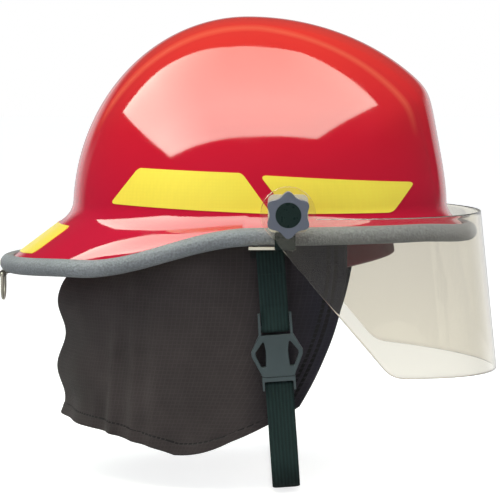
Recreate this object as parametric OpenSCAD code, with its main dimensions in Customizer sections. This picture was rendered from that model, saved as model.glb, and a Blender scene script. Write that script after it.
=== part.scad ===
// Fire helmet with a tilting face shield, a neck curtain and a chin strap.
// +X is the front, +Y the wearer's left, +Z up, and the origin is the middle of
// the head opening at brim level.

/* [Shell] */
// Half length of the dome ahead of its centre
dome_front = 142.5; // [136:0.5:150]
// Half length of the dome behind its centre
dome_rear = 125.5; // [120:0.5:132]
// Half width of the dome
dome_side = 113; // [110:0.5:117]
// Rise of the dome above its base line
dome_rise = 136.4; // [128:0.2:145]
// Where the dome's centre lies along the helmet
dome_x = -8; // [-12:1:-4]
// Height of the dome's base line above the origin
base_z = 21; // [19:0.5:24]
// Wall of the shell
shell_wall = 3; // [2:0.1:3.6]
// Radius at which the dome runs out into the brim
brim_fillet = 9; // [6:1:14]

/* [Crown band] */
// Half width of the raised band that runs over the crown
band_half = 35; // [28:1:42]
// Width over which the band's edge fades into the dome
band_fade = 8; // [5:1:14]
// Height of the band over the dome at the crown
band_rise = 3; // [1:0.2:4]
// How much further ahead than the dome the curve of the band reaches
band_ahead = 22.5; // [18:0.5:26]
// How far the band's flat front face stands proud of the dome, at the base line
face_proud = 3.5; // [2:0.5:5]
// Lean of the band's front face
face_lean = 10.5; // [8:0.5:13]

/* [Brim] */
// Width of the brim in front of the dome
brim_front = 17.8; // [15:0.1:20]
// Width of the brim behind the dome
brim_rear = 48.3; // [42:0.1:54]
// Width of the brim at the sides
brim_side = 13; // [11:0.5:15]
// Drop of the edge below the dome's base line, along the sides and the front
drop_side = 12; // [10:0.5:13]
// Drop of the edge below the dome's base line, round the back
drop_rear = 36; // [30:0.5:40]
// Place where the edge starts to climb forwards
climb_start = -125; // [-135:1:-110]
// Place where the edge has finished climbing
climb_end = -5; // [-15:1:10]
// Drop of the edge at the very front
peak_drop = 3; // [0:0.5:4]
// Drop of the edge at the very back
tail_drop = 2; // [0:0.5:4]

/* [Edge trim] */
// Size of the trim's bead along the brim
bead_long = 12.6; // [11:0.2:14]
// Size of the trim's bead across the brim
bead_high = 12.2; // [10:0.2:13]
// Depth to which the bead swallows the shell's edge
bead_grip = 4.8; // [4:0.2:5.4]
// Clearance between the bead's slot and the shell
bead_gap = 0.4; // [0.3:0.05:0.5]

/* [Reflective markings] */
// Thickness of a marking
mark_thick = 0.4; // [0.3:0.1:0.6]
// Gap under a marking, for its adhesive
mark_gap = 0.3; // [0.2:0.05:0.5]
// Height of the side markings' upper edge above the dome's base line
mark_top = 32; // [29:1:35]
// Height of the side markings' lower edge above the dome's base line, ahead
mark_low = 4.5; // [4:0.5:7]
// Rear end of the side markings along their lower edge
mark_rear_x = -103; // [-106:1:-90]
// Gap between the two side markings, at their lower edge
mark_split_x = 14; // [8:1:18]
// Width of the gap between the two side markings
mark_split = 6; // [4:0.5:9]
// Front end of the side markings along their upper edge
mark_front_x = 108; // [100:1:110]
// Run of the slanted ends, from the upper to the lower edge
mark_slant = 20; // [14:1:24]
// Half angle of the marking round the back of the brim
brim_mark_angle = 27; // [22:1:32]

/* [Impact liner] */
// Gap between the shell and the liner
liner_gap = 0.9; // [0.9:0.1:1.4]
// Thickness of the foam liner
liner_wall = 16; // [15:0.5:20]
// Depth of the liner's lower face below the dome's base line
liner_drop = 8; // [7:0.5:10]
// Gap between the liner and the cap inside it
cap_gap = 0.4; // [0.3:0.05:0.6]
// Wall of the cap
cap_wall = 2; // [1.6:0.1:2.4]
// Height of the cap's lower edge above the liner's
cap_rise = 1.5; // [1:0.5:4]

/* [Suspension] */
// Room between the dome and the outside of the headband, at the sides
side_room = 31.4; // [31:0.2:34]
// Room between the dome and the outside of the headband, in front
front_room = 37.5; // [35:0.5:42]
// Room between the dome and the outside of the headband, behind
rear_room = 35.9; // [34:0.1:38]
// Wall of the headband
head_wall = 1.6; // [1.2:0.1:2]
// Height of the headband
head_high = 32; // [26:1:36]
// Height of the headband's lower edge above the origin
head_z = -23; // [-26:0.5:-20]
// Slope of the headband, low at the nape
head_tilt = 10; // [6:0.5:12]
// Half angle of the gap in the headband at the nape
nape_gap = 17; // [14:1:20]
// Width of the crown straps
crown_wide = 20; // [16:1:24]
// Thickness of the crown straps
crown_thick = 1.2; // [1:0.1:1.4]
// Depth of the lowest crown strap, where the head rests, below the crown
crown_room = 45.4; // [41:0.1:51]
// Clearance between stacked straps, bands and keys
fit_gap = 0.3; // [0.2:0.05:0.5]
// Length of strap that laps down over the headband
crown_lap = 16; // [12:1:20]
// Height of a suspension key
key_high = 16; // [12:1:18]

/* [Pads] */
// Thickness of the brow pad's cushion
brow_thick = 6; // [4:0.5:8]
// Half angle that the brow pad covers
brow_angle = 70; // [55:1:75]
// Thickness of the pad's cloth on the outside of the headband
brow_skin = 1.5; // [1:0.1:2]
// How far the pad turns up on the outside of the headband
brow_turn = 12; // [9:1:13]
// Thickness of the nape pad
nape_thick = 6; // [4:0.5:8]
// Half angle that the nape pad covers
nape_angle = 30; // [26:1:36]
// Height of the nape pad
nape_high = 34; // [28:1:38]

/* [Ratchet] */
// Teeth on the pinion
pinion_teeth = 10; // [9:1:12]
// Module of the pinion and racks
gear_module = 1.2; // [1:0.1:1.3]
// Thickness of the racks
rack_thick = 1.8; // [1.5:0.1:2]
// Width of each rack's arm
rack_arm = 6; // [5:0.5:7]
// Slack between the teeth
backlash = 0.35; // [0.3:0.05:0.5]
// Half angle of the housing's cover round the nape
house_angle = 22; // [21:1:25]
// Wall of the housing and its cover
house_wall = 1.6; // [1.2:0.1:2]
// Diameter of the adjusting knob
dial_wide = 30; // [26:1:34]
// Depth of the adjusting knob
dial_deep = 12; // [9:0.5:14]
// Ribs round the adjusting knob
dial_ribs = 18; // [12:1:24]
// Diameter of the pinion's shaft
shaft_wide = 6; // [5:0.2:7]
// Running clearance round a shaft or a pivot
run_gap = 0.08; // [0.05:0.01:0.1]

/* [Neck curtain] */
// Thickness of the quilted curtain
curtain_thick = 2.5; // [2:0.1:3]
// How far inside the dome's sides the curtain's top edge lies
curtain_inset = 5.6; // [5.4:0.1:7]
// How much the curtain's sides draw in below the brim
curtain_draw = 5.4; // [4.5:0.1:10]
// How far inside the dome's back the curtain's top edge lies
curtain_back_inset = 6.5; // [5.5:0.5:8]
// How much the curtain flares behind, below the brim
curtain_flare = 17; // [13:0.5:21]
// Gap between the liner and the curtain's top edge
curtain_gap = 2; // [1:0.5:5]
// Front edge of the curtain at brim level
curtain_front_x = 58.6; // [50:0.2:62]
// Lowest point of the hem behind
hem_rear_z = -125; // [-135:1:-115]
// Extra length of the curtain at the sides
hem_side_drop = 17; // [8:1:20]
// Rise of the hem at the front corners
hem_corner_rise = 34; // [24:1:40]
// Depth of the curtain's buckles across the back
buckle_depth = 3; // [0:0.5:4]
// Depth of the flutes that grow towards the hem
flute_depth = 2; // [0:0.25:2.5]
// Flutes round the curtain
flute_count = 7; // [5:1:11]
// Height of the strip that holds the curtain
strip_high = 11; // [8:0.5:12]
// Thickness of the strip that holds the curtain
strip_thick = 2; // [1.5:0.1:2.5]

/* [Face shield] */
// Distance from the shell's edge to the inside of the shield, at the sides
shield_clear = 11.5; // [11:0.1:13]
// Thickness of the face shield
shield_thick = 1.5; // [1.2:0.1:2]
// Distance from the shell's edge to the inside of the shield, in front
shield_front_clear = 4.2; // [4:0.1:7]
// Height of the shield's pivots above the dome's base line
pivot_rise = 6; // [5:0.5:7]
// Lean of the lowered shield
shield_lean = 6; // [5:0.5:7]
// Radius of the round ears at the pivots
ear_r = 18.5; // [17:0.5:20]
// Depth of the shield below its pivots, at the front
shield_deep = 133; // [110:1:150]
// Distance of the shield's upper edge below its pivots, at the ears
shield_top_ear = 3; // [2:0.5:5]
// Distance of the shield's upper edge below its pivots, at the front
shield_top_front = 19.5; // [18:0.5:24]
// Radius of the shield's lower corners
shield_corner = 20; // [10:1:28]

/* [Shield hardware] */
// Diameter of the pivot studs
stud_wide = 6; // [5:0.2:7]
// Radius of a shield knob to the tops of its lobes
knob_r = 15.6; // [14:0.2:17]
// Radius of a knob at the bottoms of its hollows
knob_waist = 12.6; // [11:0.2:13.2]
// Lobes on a knob
knob_lobes = 6; // [5:1:8]
// Depth of a knob
knob_deep = 13; // [11:0.5:16]
// Diameter of the cap in a knob
cap_wide = 17; // [14:0.5:19]
// Thickness of a knob's cap
cap_deep = 3; // [2:0.5:4]
// Clearance between parts stacked on a stud
stack_gap = 0.15; // [0.1:0.05:0.2]
// Thickness of the washers outside the shield
washer_thick = 0.9; // [0.6:0.1:1.2]
// Diameter of the washers under the knobs
washer_wide = 24; // [20:1:28]
// Diameter of the spacers inside the shield's ears
spacer_wide = 12; // [10:0.5:13]
// Thickness of the bracket sheet
sheet = 1.5; // [1.2:0.1:1.6]
// Distance from the shield's inside to the bracket plates
plate_inset = 2.5; // [2.3:0.1:3]
// Width of the bracket plate round the stud
plate_wide = 27; // [24:1:30]
// Width of the bracket's neck over the trim
neck_wide = 14; // [12:0.5:16]
// How far behind the pivot the neck crosses the trim
neck_back = 2; // [0:0.5:5]
// Width of the bracket's foot under the trim
foot_wide = 31; // [28:1:34]
// How far behind the pivot the middle of the foot lies
foot_back = 11; // [9:0.5:12]
// Depth of the foot's top below the shell's edge
foot_drop = 4.8; // [4.7:0.1:5.2]
// Distance from the straps' middle plane to the foot's inner end
foot_gap = 3.1; // [3:0.1:3.4]
// Diameter of the bracket screws
screw_wide = 4; // [3.5:0.1:4.5]

/* [Chin strap] */
// Width of the webbing
web_wide = 19; // [17:0.5:20]
// Thickness of the webbing
web_thick = 1.4; // [1:0.1:1.6]
// How far inside the shell's edge the straps hang
strap_inset = 15; // [14.6:0.1:15.2]
// How far behind the shield's pivot the straps' pivot lies
strap_back = 12.5; // [11:0.5:14]
// Height of the straps' pivot above the bracket's foot
strap_rise = 4.8; // [4.2:0.1:5.3]
// Forward lean of the hanging strap
strap_lean = 4; // [2:0.5:6]
// Diameter of the strap rivets
rivet_wide = 5; // [4:0.5:6]
// Thickness of the strap hangers
hanger_thick = 1.6; // [1.2:0.1:1.8]
// Distance from the pivot to the buckle's upper end
buckle_start = 51; // [46:1:56]
// Half the space inside a folded strap
fold_half = 1.3; // [1.2:0.05:1.6]
// Distance from the pivot to the bottom of the chin loop
loop_low = 174; // [168:1:190]
// Radius of the chin loop's bottom corners
loop_corner = 22; // [16:1:30]
// Distance from the pivot to the free end of the chin loop
loop_tail = 52; // [48:1:56]

/* [Buckle] */
// Length of the buckle's socket
socket_long = 43.5; // [42:0.5:48]
// Half width of the socket at its upper frame
socket_half = 11.4; // [11:0.1:12]
// Half width of the socket across its side guards
guard_half = 17.6; // [16:0.2:18.5]
// Thickness of the buckle
buckle_deep = 8; // [7.4:0.2:9]
// Thickness of the socket's faces
face_thick = 1.6; // [1.2:0.1:1.8]
// Half width of the passage that the prongs latch behind
throat_half = 8.6; // [8.4:0.1:9]
// Clearance inside the buckle
buckle_gap = 0.3; // [0.2:0.05:0.4]
// Length of the plug's base
plug_long = 9; // [8.6:0.2:12]

/* [Hang ring] */
// Wire of the hang ring
ring_wire = 2.5; // [2:0.1:3]
// Half width of the hang ring, to the middle of its wire
ring_half = 10; // [9:0.5:12]
// Length of the hang ring below its bar, to the middle of its wire
ring_drop = 18; // [14:1:22]
// Width of the ring's bracket
ring_bracket_wide = 14; // [10:1:15]
// Sheet of the ring's bracket
ring_sheet = 1.2; // [1:0.1:1.5]

/* [Hidden] */

// Places and sizes that follow from the dome and the named clearances
band_front = dome_front + band_ahead;
face_reach = dome_front + face_proud;
rim_front = dome_x + dome_front + brim_front;
rim_rear = dome_rear - dome_x + brim_rear;
rim_half = dome_side + brim_side;
rim_high = base_z - drop_side;
rim_low = base_z - drop_rear;
mark_top_z = base_z + mark_top;
mark_low_z = base_z + mark_low;
liner_z = base_z - liner_drop;
cap_z = liner_z + cap_rise;
head_half = dome_side - side_room;
head_front = dome_x + dome_front - front_room;
head_x = dome_x - dome_rear + rear_room + head_half;
crown_z = base_z + dome_rise - crown_room;
curtain_top_half = dome_side - curtain_inset;
curtain_low_half = curtain_top_half - curtain_draw;
curtain_top_rear = dome_rear - dome_x - curtain_back_inset;
curtain_low_rear = curtain_top_rear + curtain_flare;
curtain_top_z = liner_z - curtain_gap;
shield_r = rim_half + shield_clear;
pivot_x = rim_front + shield_front_clear - shield_r;
pivot_z = base_z + pivot_rise;
plate_y = shield_r - plate_inset;
neck_x = pivot_x - neck_back;
foot_x = pivot_x - foot_back;
foot_z = rim_high - foot_drop;
strap_y = rim_half - strap_inset;
foot_y = strap_y + foot_gap;
strap_x = pivot_x - strap_back;
strap_z = foot_z + strap_rise;
peak_start = rim_front - 42.3;
peak_run = 45;
tail_start = rim_rear - 51.8;
tail_run = 55;

// Small helpers
function mix(a, b, s) = a + (b - a) * s;
function smooth(v) = let (c = min(1, max(0, v))) c * c * (3 - 2 * c);
function reversed(list) = [for (i = [len(list) - 1:-1:0]) list[i]];
function unit(v) = v / norm(v);
function sgn(v) = v < 0 ? -1 : 1;

// The radius of the dome's mid section in the direction psi, set in by w
function dome_radius(psi, w) =
  let (a = (psi < 90 ? dome_front : dome_rear) - w, c = dome_rise - w)
  1 / sqrt(pow(cos(psi) / a, 2) + pow(sin(psi) / c, 2));

// The raised band's mid section: an oval ahead, cut off by a flat leaning face
corner_sharpness = 26;
function band_oval(psi) =
  let (a = psi < 90 ? band_front : dome_rear, c = dome_rise + band_rise)
  1 / sqrt(pow(cos(psi) / a, 2) + pow(sin(psi) / c, 2));
function band_face(psi) = face_reach / max(0.02, cos(psi) + tan(face_lean) * sin(psi));
function band_radius(psi) =
  let (k = corner_sharpness)
  pow(pow(band_oval(psi), -k) + pow(band_face(psi), -k), -1 / k);
band_start = 38;
function band_height(psi) =
  let (body = dome_radius(psi, 0))
  smooth(body * sin(psi) / band_start) * max(0, (psi < 100 ? band_radius(psi) : band_oval(psi)) - body);
function band_window(y) = 1 - smooth((abs(y) - band_half) / band_fade);

// A point on the dome: tau is the slice from right to left, psi the angle from front to back
function dome_point(tau, psi, w) =
  let (y = (dome_side - w) * sin(tau),
       rho = dome_radius(psi, w) + band_window(y) * band_height(psi))
  [dome_x + cos(tau) * rho * cos(psi), y, base_z + cos(tau) * rho * sin(psi)];

// The ring where the dome meets the brim, and the edge of the brim
function ring_point(t, w) =
  [dome_x + ((cos(t) > 0 ? dome_front : dome_rear) - w) * cos(t), (dome_side - w) * sin(t), base_z];
rim_x = (rim_front - rim_rear) / 2;
rim_long = (rim_front + rim_rear) / 2;
function rim_height(x) =
  mix(rim_low, rim_high, smooth((x - climb_start) / (climb_end - climb_start)))
  - peak_drop * smooth((x - peak_start) / peak_run) - tail_drop * smooth((-x - tail_start) / tail_run);
function rim_point(t) =
  let (x = rim_x + rim_long * cos(t))
  [x, rim_half * sin(t), rim_height(x)];
function rim_out(t) = unit([cos(t) / rim_long, sin(t) / rim_half, 0]);
function brim_slope(t) =
  let (q = ring_point(t, 0), r = rim_point(t))
  atan2(q.z - r.z, norm([q.x - r.x, q.y - r.y]));
function brim_dir(t) = rim_out(t) * cos(brim_slope(t)) - [0, 0, sin(brim_slope(t))];
function brim_up(t) = rim_out(t) * sin(brim_slope(t)) + [0, 0, cos(brim_slope(t))];

// One line down the brim at angle t, from the shell's edge up to the dome, set in by w
function brim_line(t, w, top) =
  let (edge = rim_point(t) + brim_up(t) * (shell_wall / 2 - w),
       grip = edge - brim_dir(t) * (bead_grip + 1),
       q = ring_point(t, w) - [0, 0, w * (1 - sin(brim_slope(t))) / cos(brim_slope(t))],
       start = q + unit(grip - q) * min(brim_fillet, norm(grip - q) * 0.8))
  [edge, grip, start, for (s = [1 / 3, 2 / 3]) start * pow(1 - s, 2) + q * 2 * s * (1 - s) + top * s * s];

// Slices of the dome, closer together at the edges of the raised band
edge_tau = asin(band_half / dome_side);
fade_tau = asin((band_half + band_fade) / dome_side);
side_slices = 7;
half_taus = [edge_tau / 2, edge_tau, fade_tau,
  for (i = [1:side_slices - 1]) mix(fade_tau, 90, i / side_slices)];
taus = concat([for (v = reversed(half_taus)) -v], [0], half_taus);
base_psi = 3.5;
psis = [base_psi, 12, 19, 25, 29, 32, 35, 39, 45, 53, 61, 69, 77, 85, 93, 101, 109, 117, 125, 133, 141, 149,
  157, 165, 172, 180 - base_psi];
ring_ts = concat(taus, [90], [for (v = reversed(taus)) 180 - v], [270]);
slice_count = len(taus);
arch_count = len(psis);
ring_count = len(ring_ts);
brim_rows = 5;

// Points of one skin of the shell: brim rows, then the dome's slices, then the two side points
function side_point(w, s) = [dome_x, s * (dome_side - w), base_z];
function ring_top(k, w) =
  k < slice_count ? dome_point(taus[k], psis[0], w)
  : k == slice_count ? side_point(w, 1)
  : k < 2 * slice_count + 1 ? dome_point(taus[2 * slice_count - k], psis[arch_count - 1], w)
  : side_point(w, -1);
function skin_points(w) =
  let (lines = [for (k = [0:ring_count - 1]) brim_line(ring_ts[k], w, ring_top(k, w))])
  concat(
    [for (r = [0:brim_rows - 1]) for (k = [0:ring_count - 1]) lines[k][r]],
    [for (tau = taus) for (psi = psis) dome_point(tau, psi, w)],
    [side_point(w, 1), side_point(w, -1)]);
skin_size = brim_rows * ring_count + slice_count * arch_count + 2;
grid_start = brim_rows * ring_count;
function grid_index(j, i) = grid_start + j * arch_count + i;
function top_index(k) =
  k < slice_count ? grid_index(k, 0)
  : k == slice_count ? skin_size - 2
  : k < 2 * slice_count + 1 ? grid_index(2 * slice_count - k, arch_count - 1)
  : skin_size - 1;
function row_index(r, k) = r < brim_rows ? r * ring_count + k : top_index(k);
function quad(a, b, c, d) = [[a, b, c], [a, c, d]];
skin_faces = concat(
  [for (r = [0:brim_rows - 1]) for (k = [0:ring_count - 1]) let (n = (k + 1) % ring_count)
    each quad(row_index(r, k), row_index(r + 1, k), row_index(r + 1, n), row_index(r, n))],
  [for (j = [0:slice_count - 2]) for (i = [0:arch_count - 2])
    each quad(grid_index(j, i), grid_index(j, i + 1), grid_index(j + 1, i + 1), grid_index(j + 1, i))],
  [for (i = [0:arch_count - 2])
    [grid_index(slice_count - 1, i), grid_index(slice_count - 1, i + 1), skin_size - 2]],
  [for (i = [0:arch_count - 2]) [grid_index(0, i + 1), grid_index(0, i), skin_size - 1]]);

// A closed body lofted through rings of points, its ends closed by pairing points across
function loft_faces(rows, n, closed) = concat(
  [for (r = [0:rows - (closed ? 1 : 2)]) for (i = [0:n - 1])
    let (s = (r + 1) % rows, j = (i + 1) % n)
    each quad(r * n + i, r * n + j, s * n + j, s * n + i)],
  closed ? [] : [for (i = [0:n / 2 - 2]) each quad(i, n - 1 - i, n - 2 - i, i + 1)],
  closed ? [] : [for (i = [0:n / 2 - 2]) let (b = (rows - 1) * n)
    each quad(b + i, b + i + 1, b + n - 2 - i, b + n - 1 - i)]);
module loft(rings, closed = false) {
  polyhedron([for (ring = rings) each ring], loft_faces(len(rings), len(rings[0]), closed), convexity = 8);
}

module outer_shell() {
  edge = [for (k = [0:ring_count - 1]) let (n = (k + 1) % ring_count)
    each quad(k, n, skin_size + n, skin_size + k)];
  inner = [for (f = skin_faces) [f[0] + skin_size, f[2] + skin_size, f[1] + skin_size]];
  color([0.78, 0.12, 0.16])
    polyhedron(concat(skin_points(0), skin_points(shell_wall)), concat(skin_faces, edge, inner),
      convexity = 8);
}

// Section of the trim: a bead with a slot for the shell's edge
bead_points = 14;
slot_half = shell_wall / 2 + bead_gap;
bead_back = bead_long / 2 - bead_grip + 1;
lip_angle = asin(slot_half / (bead_high / 2));
function bead_outline() = concat(
  [for (i = [0:bead_points - 1]) let (a = mix(180 - lip_angle, -180 + lip_angle, i / (bead_points - 1)))
    [-bead_back + bead_long / 2 * cos(a), bead_high / 2 * sin(a)]],
  [[bead_gap, -slot_half], [bead_gap, slot_half]]);

module edge_trim() {
  color([0.58, 0.59, 0.58])
    loft([for (t = ring_ts) [for (p = bead_outline()) rim_point(t) + brim_dir(t) * p.x + brim_up(t) * p.y]],
      closed = true);
}

// Side markings lie on the dome: a point at height z and place x along the helmet
function dome_side_y(x, z, out) =
  let (a = (x > dome_x ? dome_front : dome_rear) + out,
       dx = (x - dome_x) / a,
       dz = (z - base_z) / (dome_rise + out))
  (dome_side + out) * sqrt(max(0, 1 - dx * dx - dz * dz));
function mark_column(x_low, x_top, z_low, side) =
  let (inner = [for (s = [0:1 / 3:1]) let (x = mix(x_low, x_top, s), z = mix(z_low, mark_top_z, s))
         [x, side * dome_side_y(x, z, mark_gap), z]],
       outer = [for (s = [0:1 / 3:1]) let (x = mix(x_low, x_top, s), z = mix(z_low, mark_top_z, s))
         [x, side * dome_side_y(x, z, mark_gap + mark_thick), z]])
  side > 0 ? concat(inner, reversed(outer)) : concat(outer, reversed(inner));
module side_marking(x0_low, x0_top, x1_low, x1_top, z0, z1, side) {
  columns = 12;
  color([0.96, 0.86, 0.3])
    loft([for (i = [0:columns]) let (s = i / columns)
      mark_column(mix(x0_low, x1_low, s), mix(x0_top, x1_top, s), mix(z0, z1, s), side)]);
}
mark_rear_z = mark_low_z + 5;
mark_sink = 0.8;
module marking_rear(side) {
  end_x = mark_split_x - mark_split;
  side_marking(mark_rear_x, mark_rear_x + mark_slant, end_x, end_x - mark_slant,
    mark_rear_z, mark_low_z, side);
}
module marking_front(side) {
  start_x = mark_split_x + mark_split;
  side_marking(start_x, start_x - mark_slant, mark_front_x - mark_slant * 0.8, mark_front_x,
    mark_low_z, mark_low_z - mark_sink, side);
}
module marking_rear_right() { marking_rear(-1); }
module marking_rear_left() { marking_rear(1); }
module marking_front_right() { marking_front(-1); }
module marking_front_left() { marking_front(1); }

// The marking on the brim follows the straight part of the brim's slope
module marking_brim() {
  columns = 12;
  color([0.96, 0.86, 0.3])
    loft([for (i = [0:columns]) let (
      t = 180 - brim_mark_angle + 2 * brim_mark_angle * i / columns,
      line = brim_line(t, 0, dome_point(0, 170, 0)),
      lift = brim_up(t),
      near = mix(line[1], line[2], 0.2), far = mix(line[1], line[2], 0.85))
      [near + lift * mark_gap, far + lift * mark_gap,
       far + lift * (mark_gap + mark_thick), near + lift * (mark_gap + mark_thick)]]);
}

// Bodies inside the dome: smooth ovals without the raised band
function oval_ring(w, phi, steps) =
  [for (i = [0:steps - 1]) let (t = i * 360 / steps)
    [dome_x + ((cos(t) > 0 ? dome_front : dome_rear) - w) * cos(phi) * cos(t),
     (dome_side - w) * cos(phi) * sin(t), base_z + (dome_rise - w) * sin(phi)]];
module dome_cup(w_out, w_in, low_z, steps) {
  phi_out = asin((low_z - base_z) / (dome_rise - w_out));
  phi_in = asin((low_z - base_z) / (dome_rise - w_in));
  tiers = [10, 24, 38, 52, 66, 79];
  loft(concat(
    [for (i = [len(tiers) - 1:-1:0]) oval_ring(w_out, tiers[i], steps)],
    [oval_ring(w_out, phi_out, steps), oval_ring(w_in, phi_in, steps)],
    [for (phi = tiers) oval_ring(w_in, phi, steps)]));
}
liner_out = shell_wall + liner_gap;
liner_in = liner_out + liner_wall;
cap_out = liner_in + cap_gap;
cap_in = cap_out + cap_wall;
cup_steps = 40;
module impact_liner() {
  color([0.2, 0.2, 0.22]) dome_cup(liner_out, liner_in, liner_z, cup_steps);
}
module inner_cap() {
  color([0.12, 0.12, 0.13]) dome_cup(cap_out, cap_in, cap_z, cup_steps);
}

// The headband's plan: an oval ahead of its centre and a round rear half
head_long = head_front - head_x;
function head_oval(grow, steps, from, to) =
  [for (i = [0:steps]) let (a = mix(from, to, i / steps))
    [head_x + ((cos(a) > 0 ? head_long : head_half) + grow) * cos(a), (head_half + grow) * sin(a)]];
module head_frame() { translate([0, 0, head_z]) rotate([0, -head_tilt, 0]) children(); }
module head_sector(angle, far) {
  polygon([[head_x, 0], [head_x - far, far * tan(angle)], [head_x - far, -far * tan(angle)]]);
}
module head_strip(grow_in, grow_out) {
  difference() {
    polygon(head_oval(grow_out, 71, 0, 355));
    polygon(head_oval(grow_in, 71, 0, 355));
  }
}
module headband() {
  color([0.13, 0.13, 0.14]) head_frame()
    linear_extrude(head_high) difference() {
      head_strip(-head_wall, 0);
      head_sector(nape_gap, 200);
    }
}

// Pads: a cushion inside the band, wrapped under its lower edge where it turns up outside
function head_frame_point(p) =
  [p.x * cos(head_tilt) - p.z * sin(head_tilt), p.y, head_z + p.x * sin(head_tilt) + p.z * cos(head_tilt)];
function pad_ring(a, section) =
  let (base = [head_x + (cos(a) > 0 ? head_long : head_half) * cos(a), head_half * sin(a)],
       out = unit([cos(a) / (cos(a) > 0 ? head_long : head_half), sin(a) / head_half]))
  [for (p = section) head_frame_point([base.x + out.x * p.x, base.y + out.y * p.x, p.y])];
function pad_taper(s) = pow(max(0.02, 1 - pow(abs(2 * s - 1), 6)), 0.5);
function brow_section(k) = let (inner = -head_wall - fit_gap, outer = fit_gap, low = -fit_gap) [
  [inner - brow_thick * k * 0.55, head_high + 1], [inner - brow_thick * k, head_high * 0.72],
  [inner - brow_thick * k, head_high * 0.3], [inner - brow_thick * k * 0.6, low - 1],
  [inner, low - brow_thick * 0.5], [outer, low - brow_thick * 0.4],
  [outer + brow_skin, low - 0.5], [outer + brow_skin, brow_turn],
  [outer, brow_turn], [outer, low], [outer - 0.2, low - 0.1], [inner + 0.2, low - 0.1],
  [inner, low], [inner, head_high * 0.3], [inner, head_high * 0.72], [inner, head_high + 1]];
brow_rings = 28;
module brow_pad() {
  color([0.5, 0.1, 0.15])
    loft([for (i = [0:brow_rings]) let (s = i / brow_rings)
      pad_ring(mix(-brow_angle, brow_angle, s), brow_section(pad_taper(s)))]);
}
function nape_section(k) = let (inner = -head_wall - fit_gap, low = (head_high - nape_high) / 2) [
  [inner - nape_thick * k * 0.5, low], [inner - nape_thick * k, low + nape_high * 0.25],
  [inner - nape_thick * k, low + nape_high * 0.75], [inner - nape_thick * k * 0.5, low + nape_high],
  [inner, low + nape_high], [inner, low + nape_high * 0.75], [inner, low + nape_high * 0.25], [inner, low]];
nape_rings = 14;
module nape_pad() {
  color([0.14, 0.14, 0.15])
    loft([for (i = [0:nape_rings]) let (s = i / nape_rings)
      pad_ring(mix(180 - nape_angle, 180 + nape_angle, s), nape_section(pad_taper(s)))]);
}

// Crown straps stand in upright planes through the crown's middle
crown_x = dome_x + (dome_front - dome_rear) / 2;
diagonal_turn = 34;
// Reach of an oval from the crown's middle along the direction az, its middle at x = cx
function oval_reach(az, cx, long, half, keep) =
  let (dx = crown_x - cx, p = pow(cos(az) / long, 2) + pow(sin(az) / half, 2),
       q = 2 * dx * cos(az) / (long * long), r = pow(dx / long, 2) - keep)
  (-q + sqrt(q * q - 4 * p * r)) / (2 * p);
// The band is tilted, so the straps clear it over the height that they lap
function band_reach_at(az, z) =
  oval_reach(az, head_x * cos(head_tilt) - z * sin(head_tilt),
    (cos(az) > 0 ? head_long : head_half) * cos(head_tilt), head_half, 1);
strap_corner = atan2(crown_wide / 2, head_half);
function band_reach(az) =
  max([for (z = [head_high - crown_lap, head_high]) for (c = [-strap_corner, 0, strap_corner])
    band_reach_at(az + c, z) * cos(c)]);
function cap_reach(az, z) =
  oval_reach(az, dome_x, (cos(az) > 0 ? dome_front : dome_rear) - cap_in, dome_side - cap_in,
    1 - pow((z - base_z) / (dome_rise - cap_in), 2));
function band_top_z(x) = head_z + x * tan(head_tilt) + head_high / cos(head_tilt);
key_z = cap_z + 2;
key_top_z = key_z + key_high;
module crown_strap(az, rise) {
  reach = [band_reach(az) + fit_gap, band_reach(az + 180) + fit_gap];
  middle = (reach[0] - reach[1]) / 2;
  half = (reach[0] + reach[1]) / 2 + crown_thick / 2;
  sag = crown_z + rise + crown_thick / 2 - key_top_z;
  r = (half * half + sag * sag) / (2 * sag);
  color([0.1, 0.1, 0.11])
    translate([crown_x, 0, 0]) rotate([0, 0, az]) translate([middle, crown_wide / 2, 0]) rotate([90, 0, 0])
      linear_extrude(crown_wide) {
        intersection() {
          translate([0, key_top_z + sag - r]) difference() {
            circle(r + crown_thick / 2, $fn = 180);
            circle(r - crown_thick / 2, $fn = 180);
          }
          translate([-2 * r, key_top_z]) square([4 * r, 2 * r]);
        }
        for (s = [0, 1]) {
          foot_z0 = band_top_z(crown_x + (s == 0 ? 1 : -1) * reach[s] * cos(az)) - crown_lap;
          translate([(s == 0 ? half : -half) - crown_thick / 2, foot_z0])
            square([crown_thick, key_top_z - foot_z0 + 0.5]);
        }
      }
}
crown_step = 2.9;
module crown_strap_cross() { crown_strap(90, 0); }
module crown_strap_diagonal_right() { crown_strap(-diagonal_turn, crown_step); }
module crown_strap_diagonal_left() { crown_strap(diagonal_turn, 2 * crown_step); }

// Keys fill the space between a strap and the cap
rear_key_wide = 14;
key_seat_gap = 0.6;
key_angles = [90, -90, diagonal_turn, -diagonal_turn, 180 - diagonal_turn, 180 + diagonal_turn];
module suspension_key(az) {
  wide = cos(az) < -0.1 ? rear_key_wide : crown_wide + 4;
  start = band_reach(az) + fit_gap + crown_thick + fit_gap;
  corner = atan2(wide / 2, start);
  reach = min(cap_reach(az - corner, key_top_z), cap_reach(az + corner, key_top_z));
  long = (reach - key_seat_gap) * cos(corner) - start;
  translate([crown_x, 0, key_z]) rotate([0, 0, az]) translate([start, -wide / 2, 0])
    cube([long, wide, key_high]);
}
module suspension_keys() {
  color([0.25, 0.25, 0.27]) for (az = key_angles) suspension_key(az);
}

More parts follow.
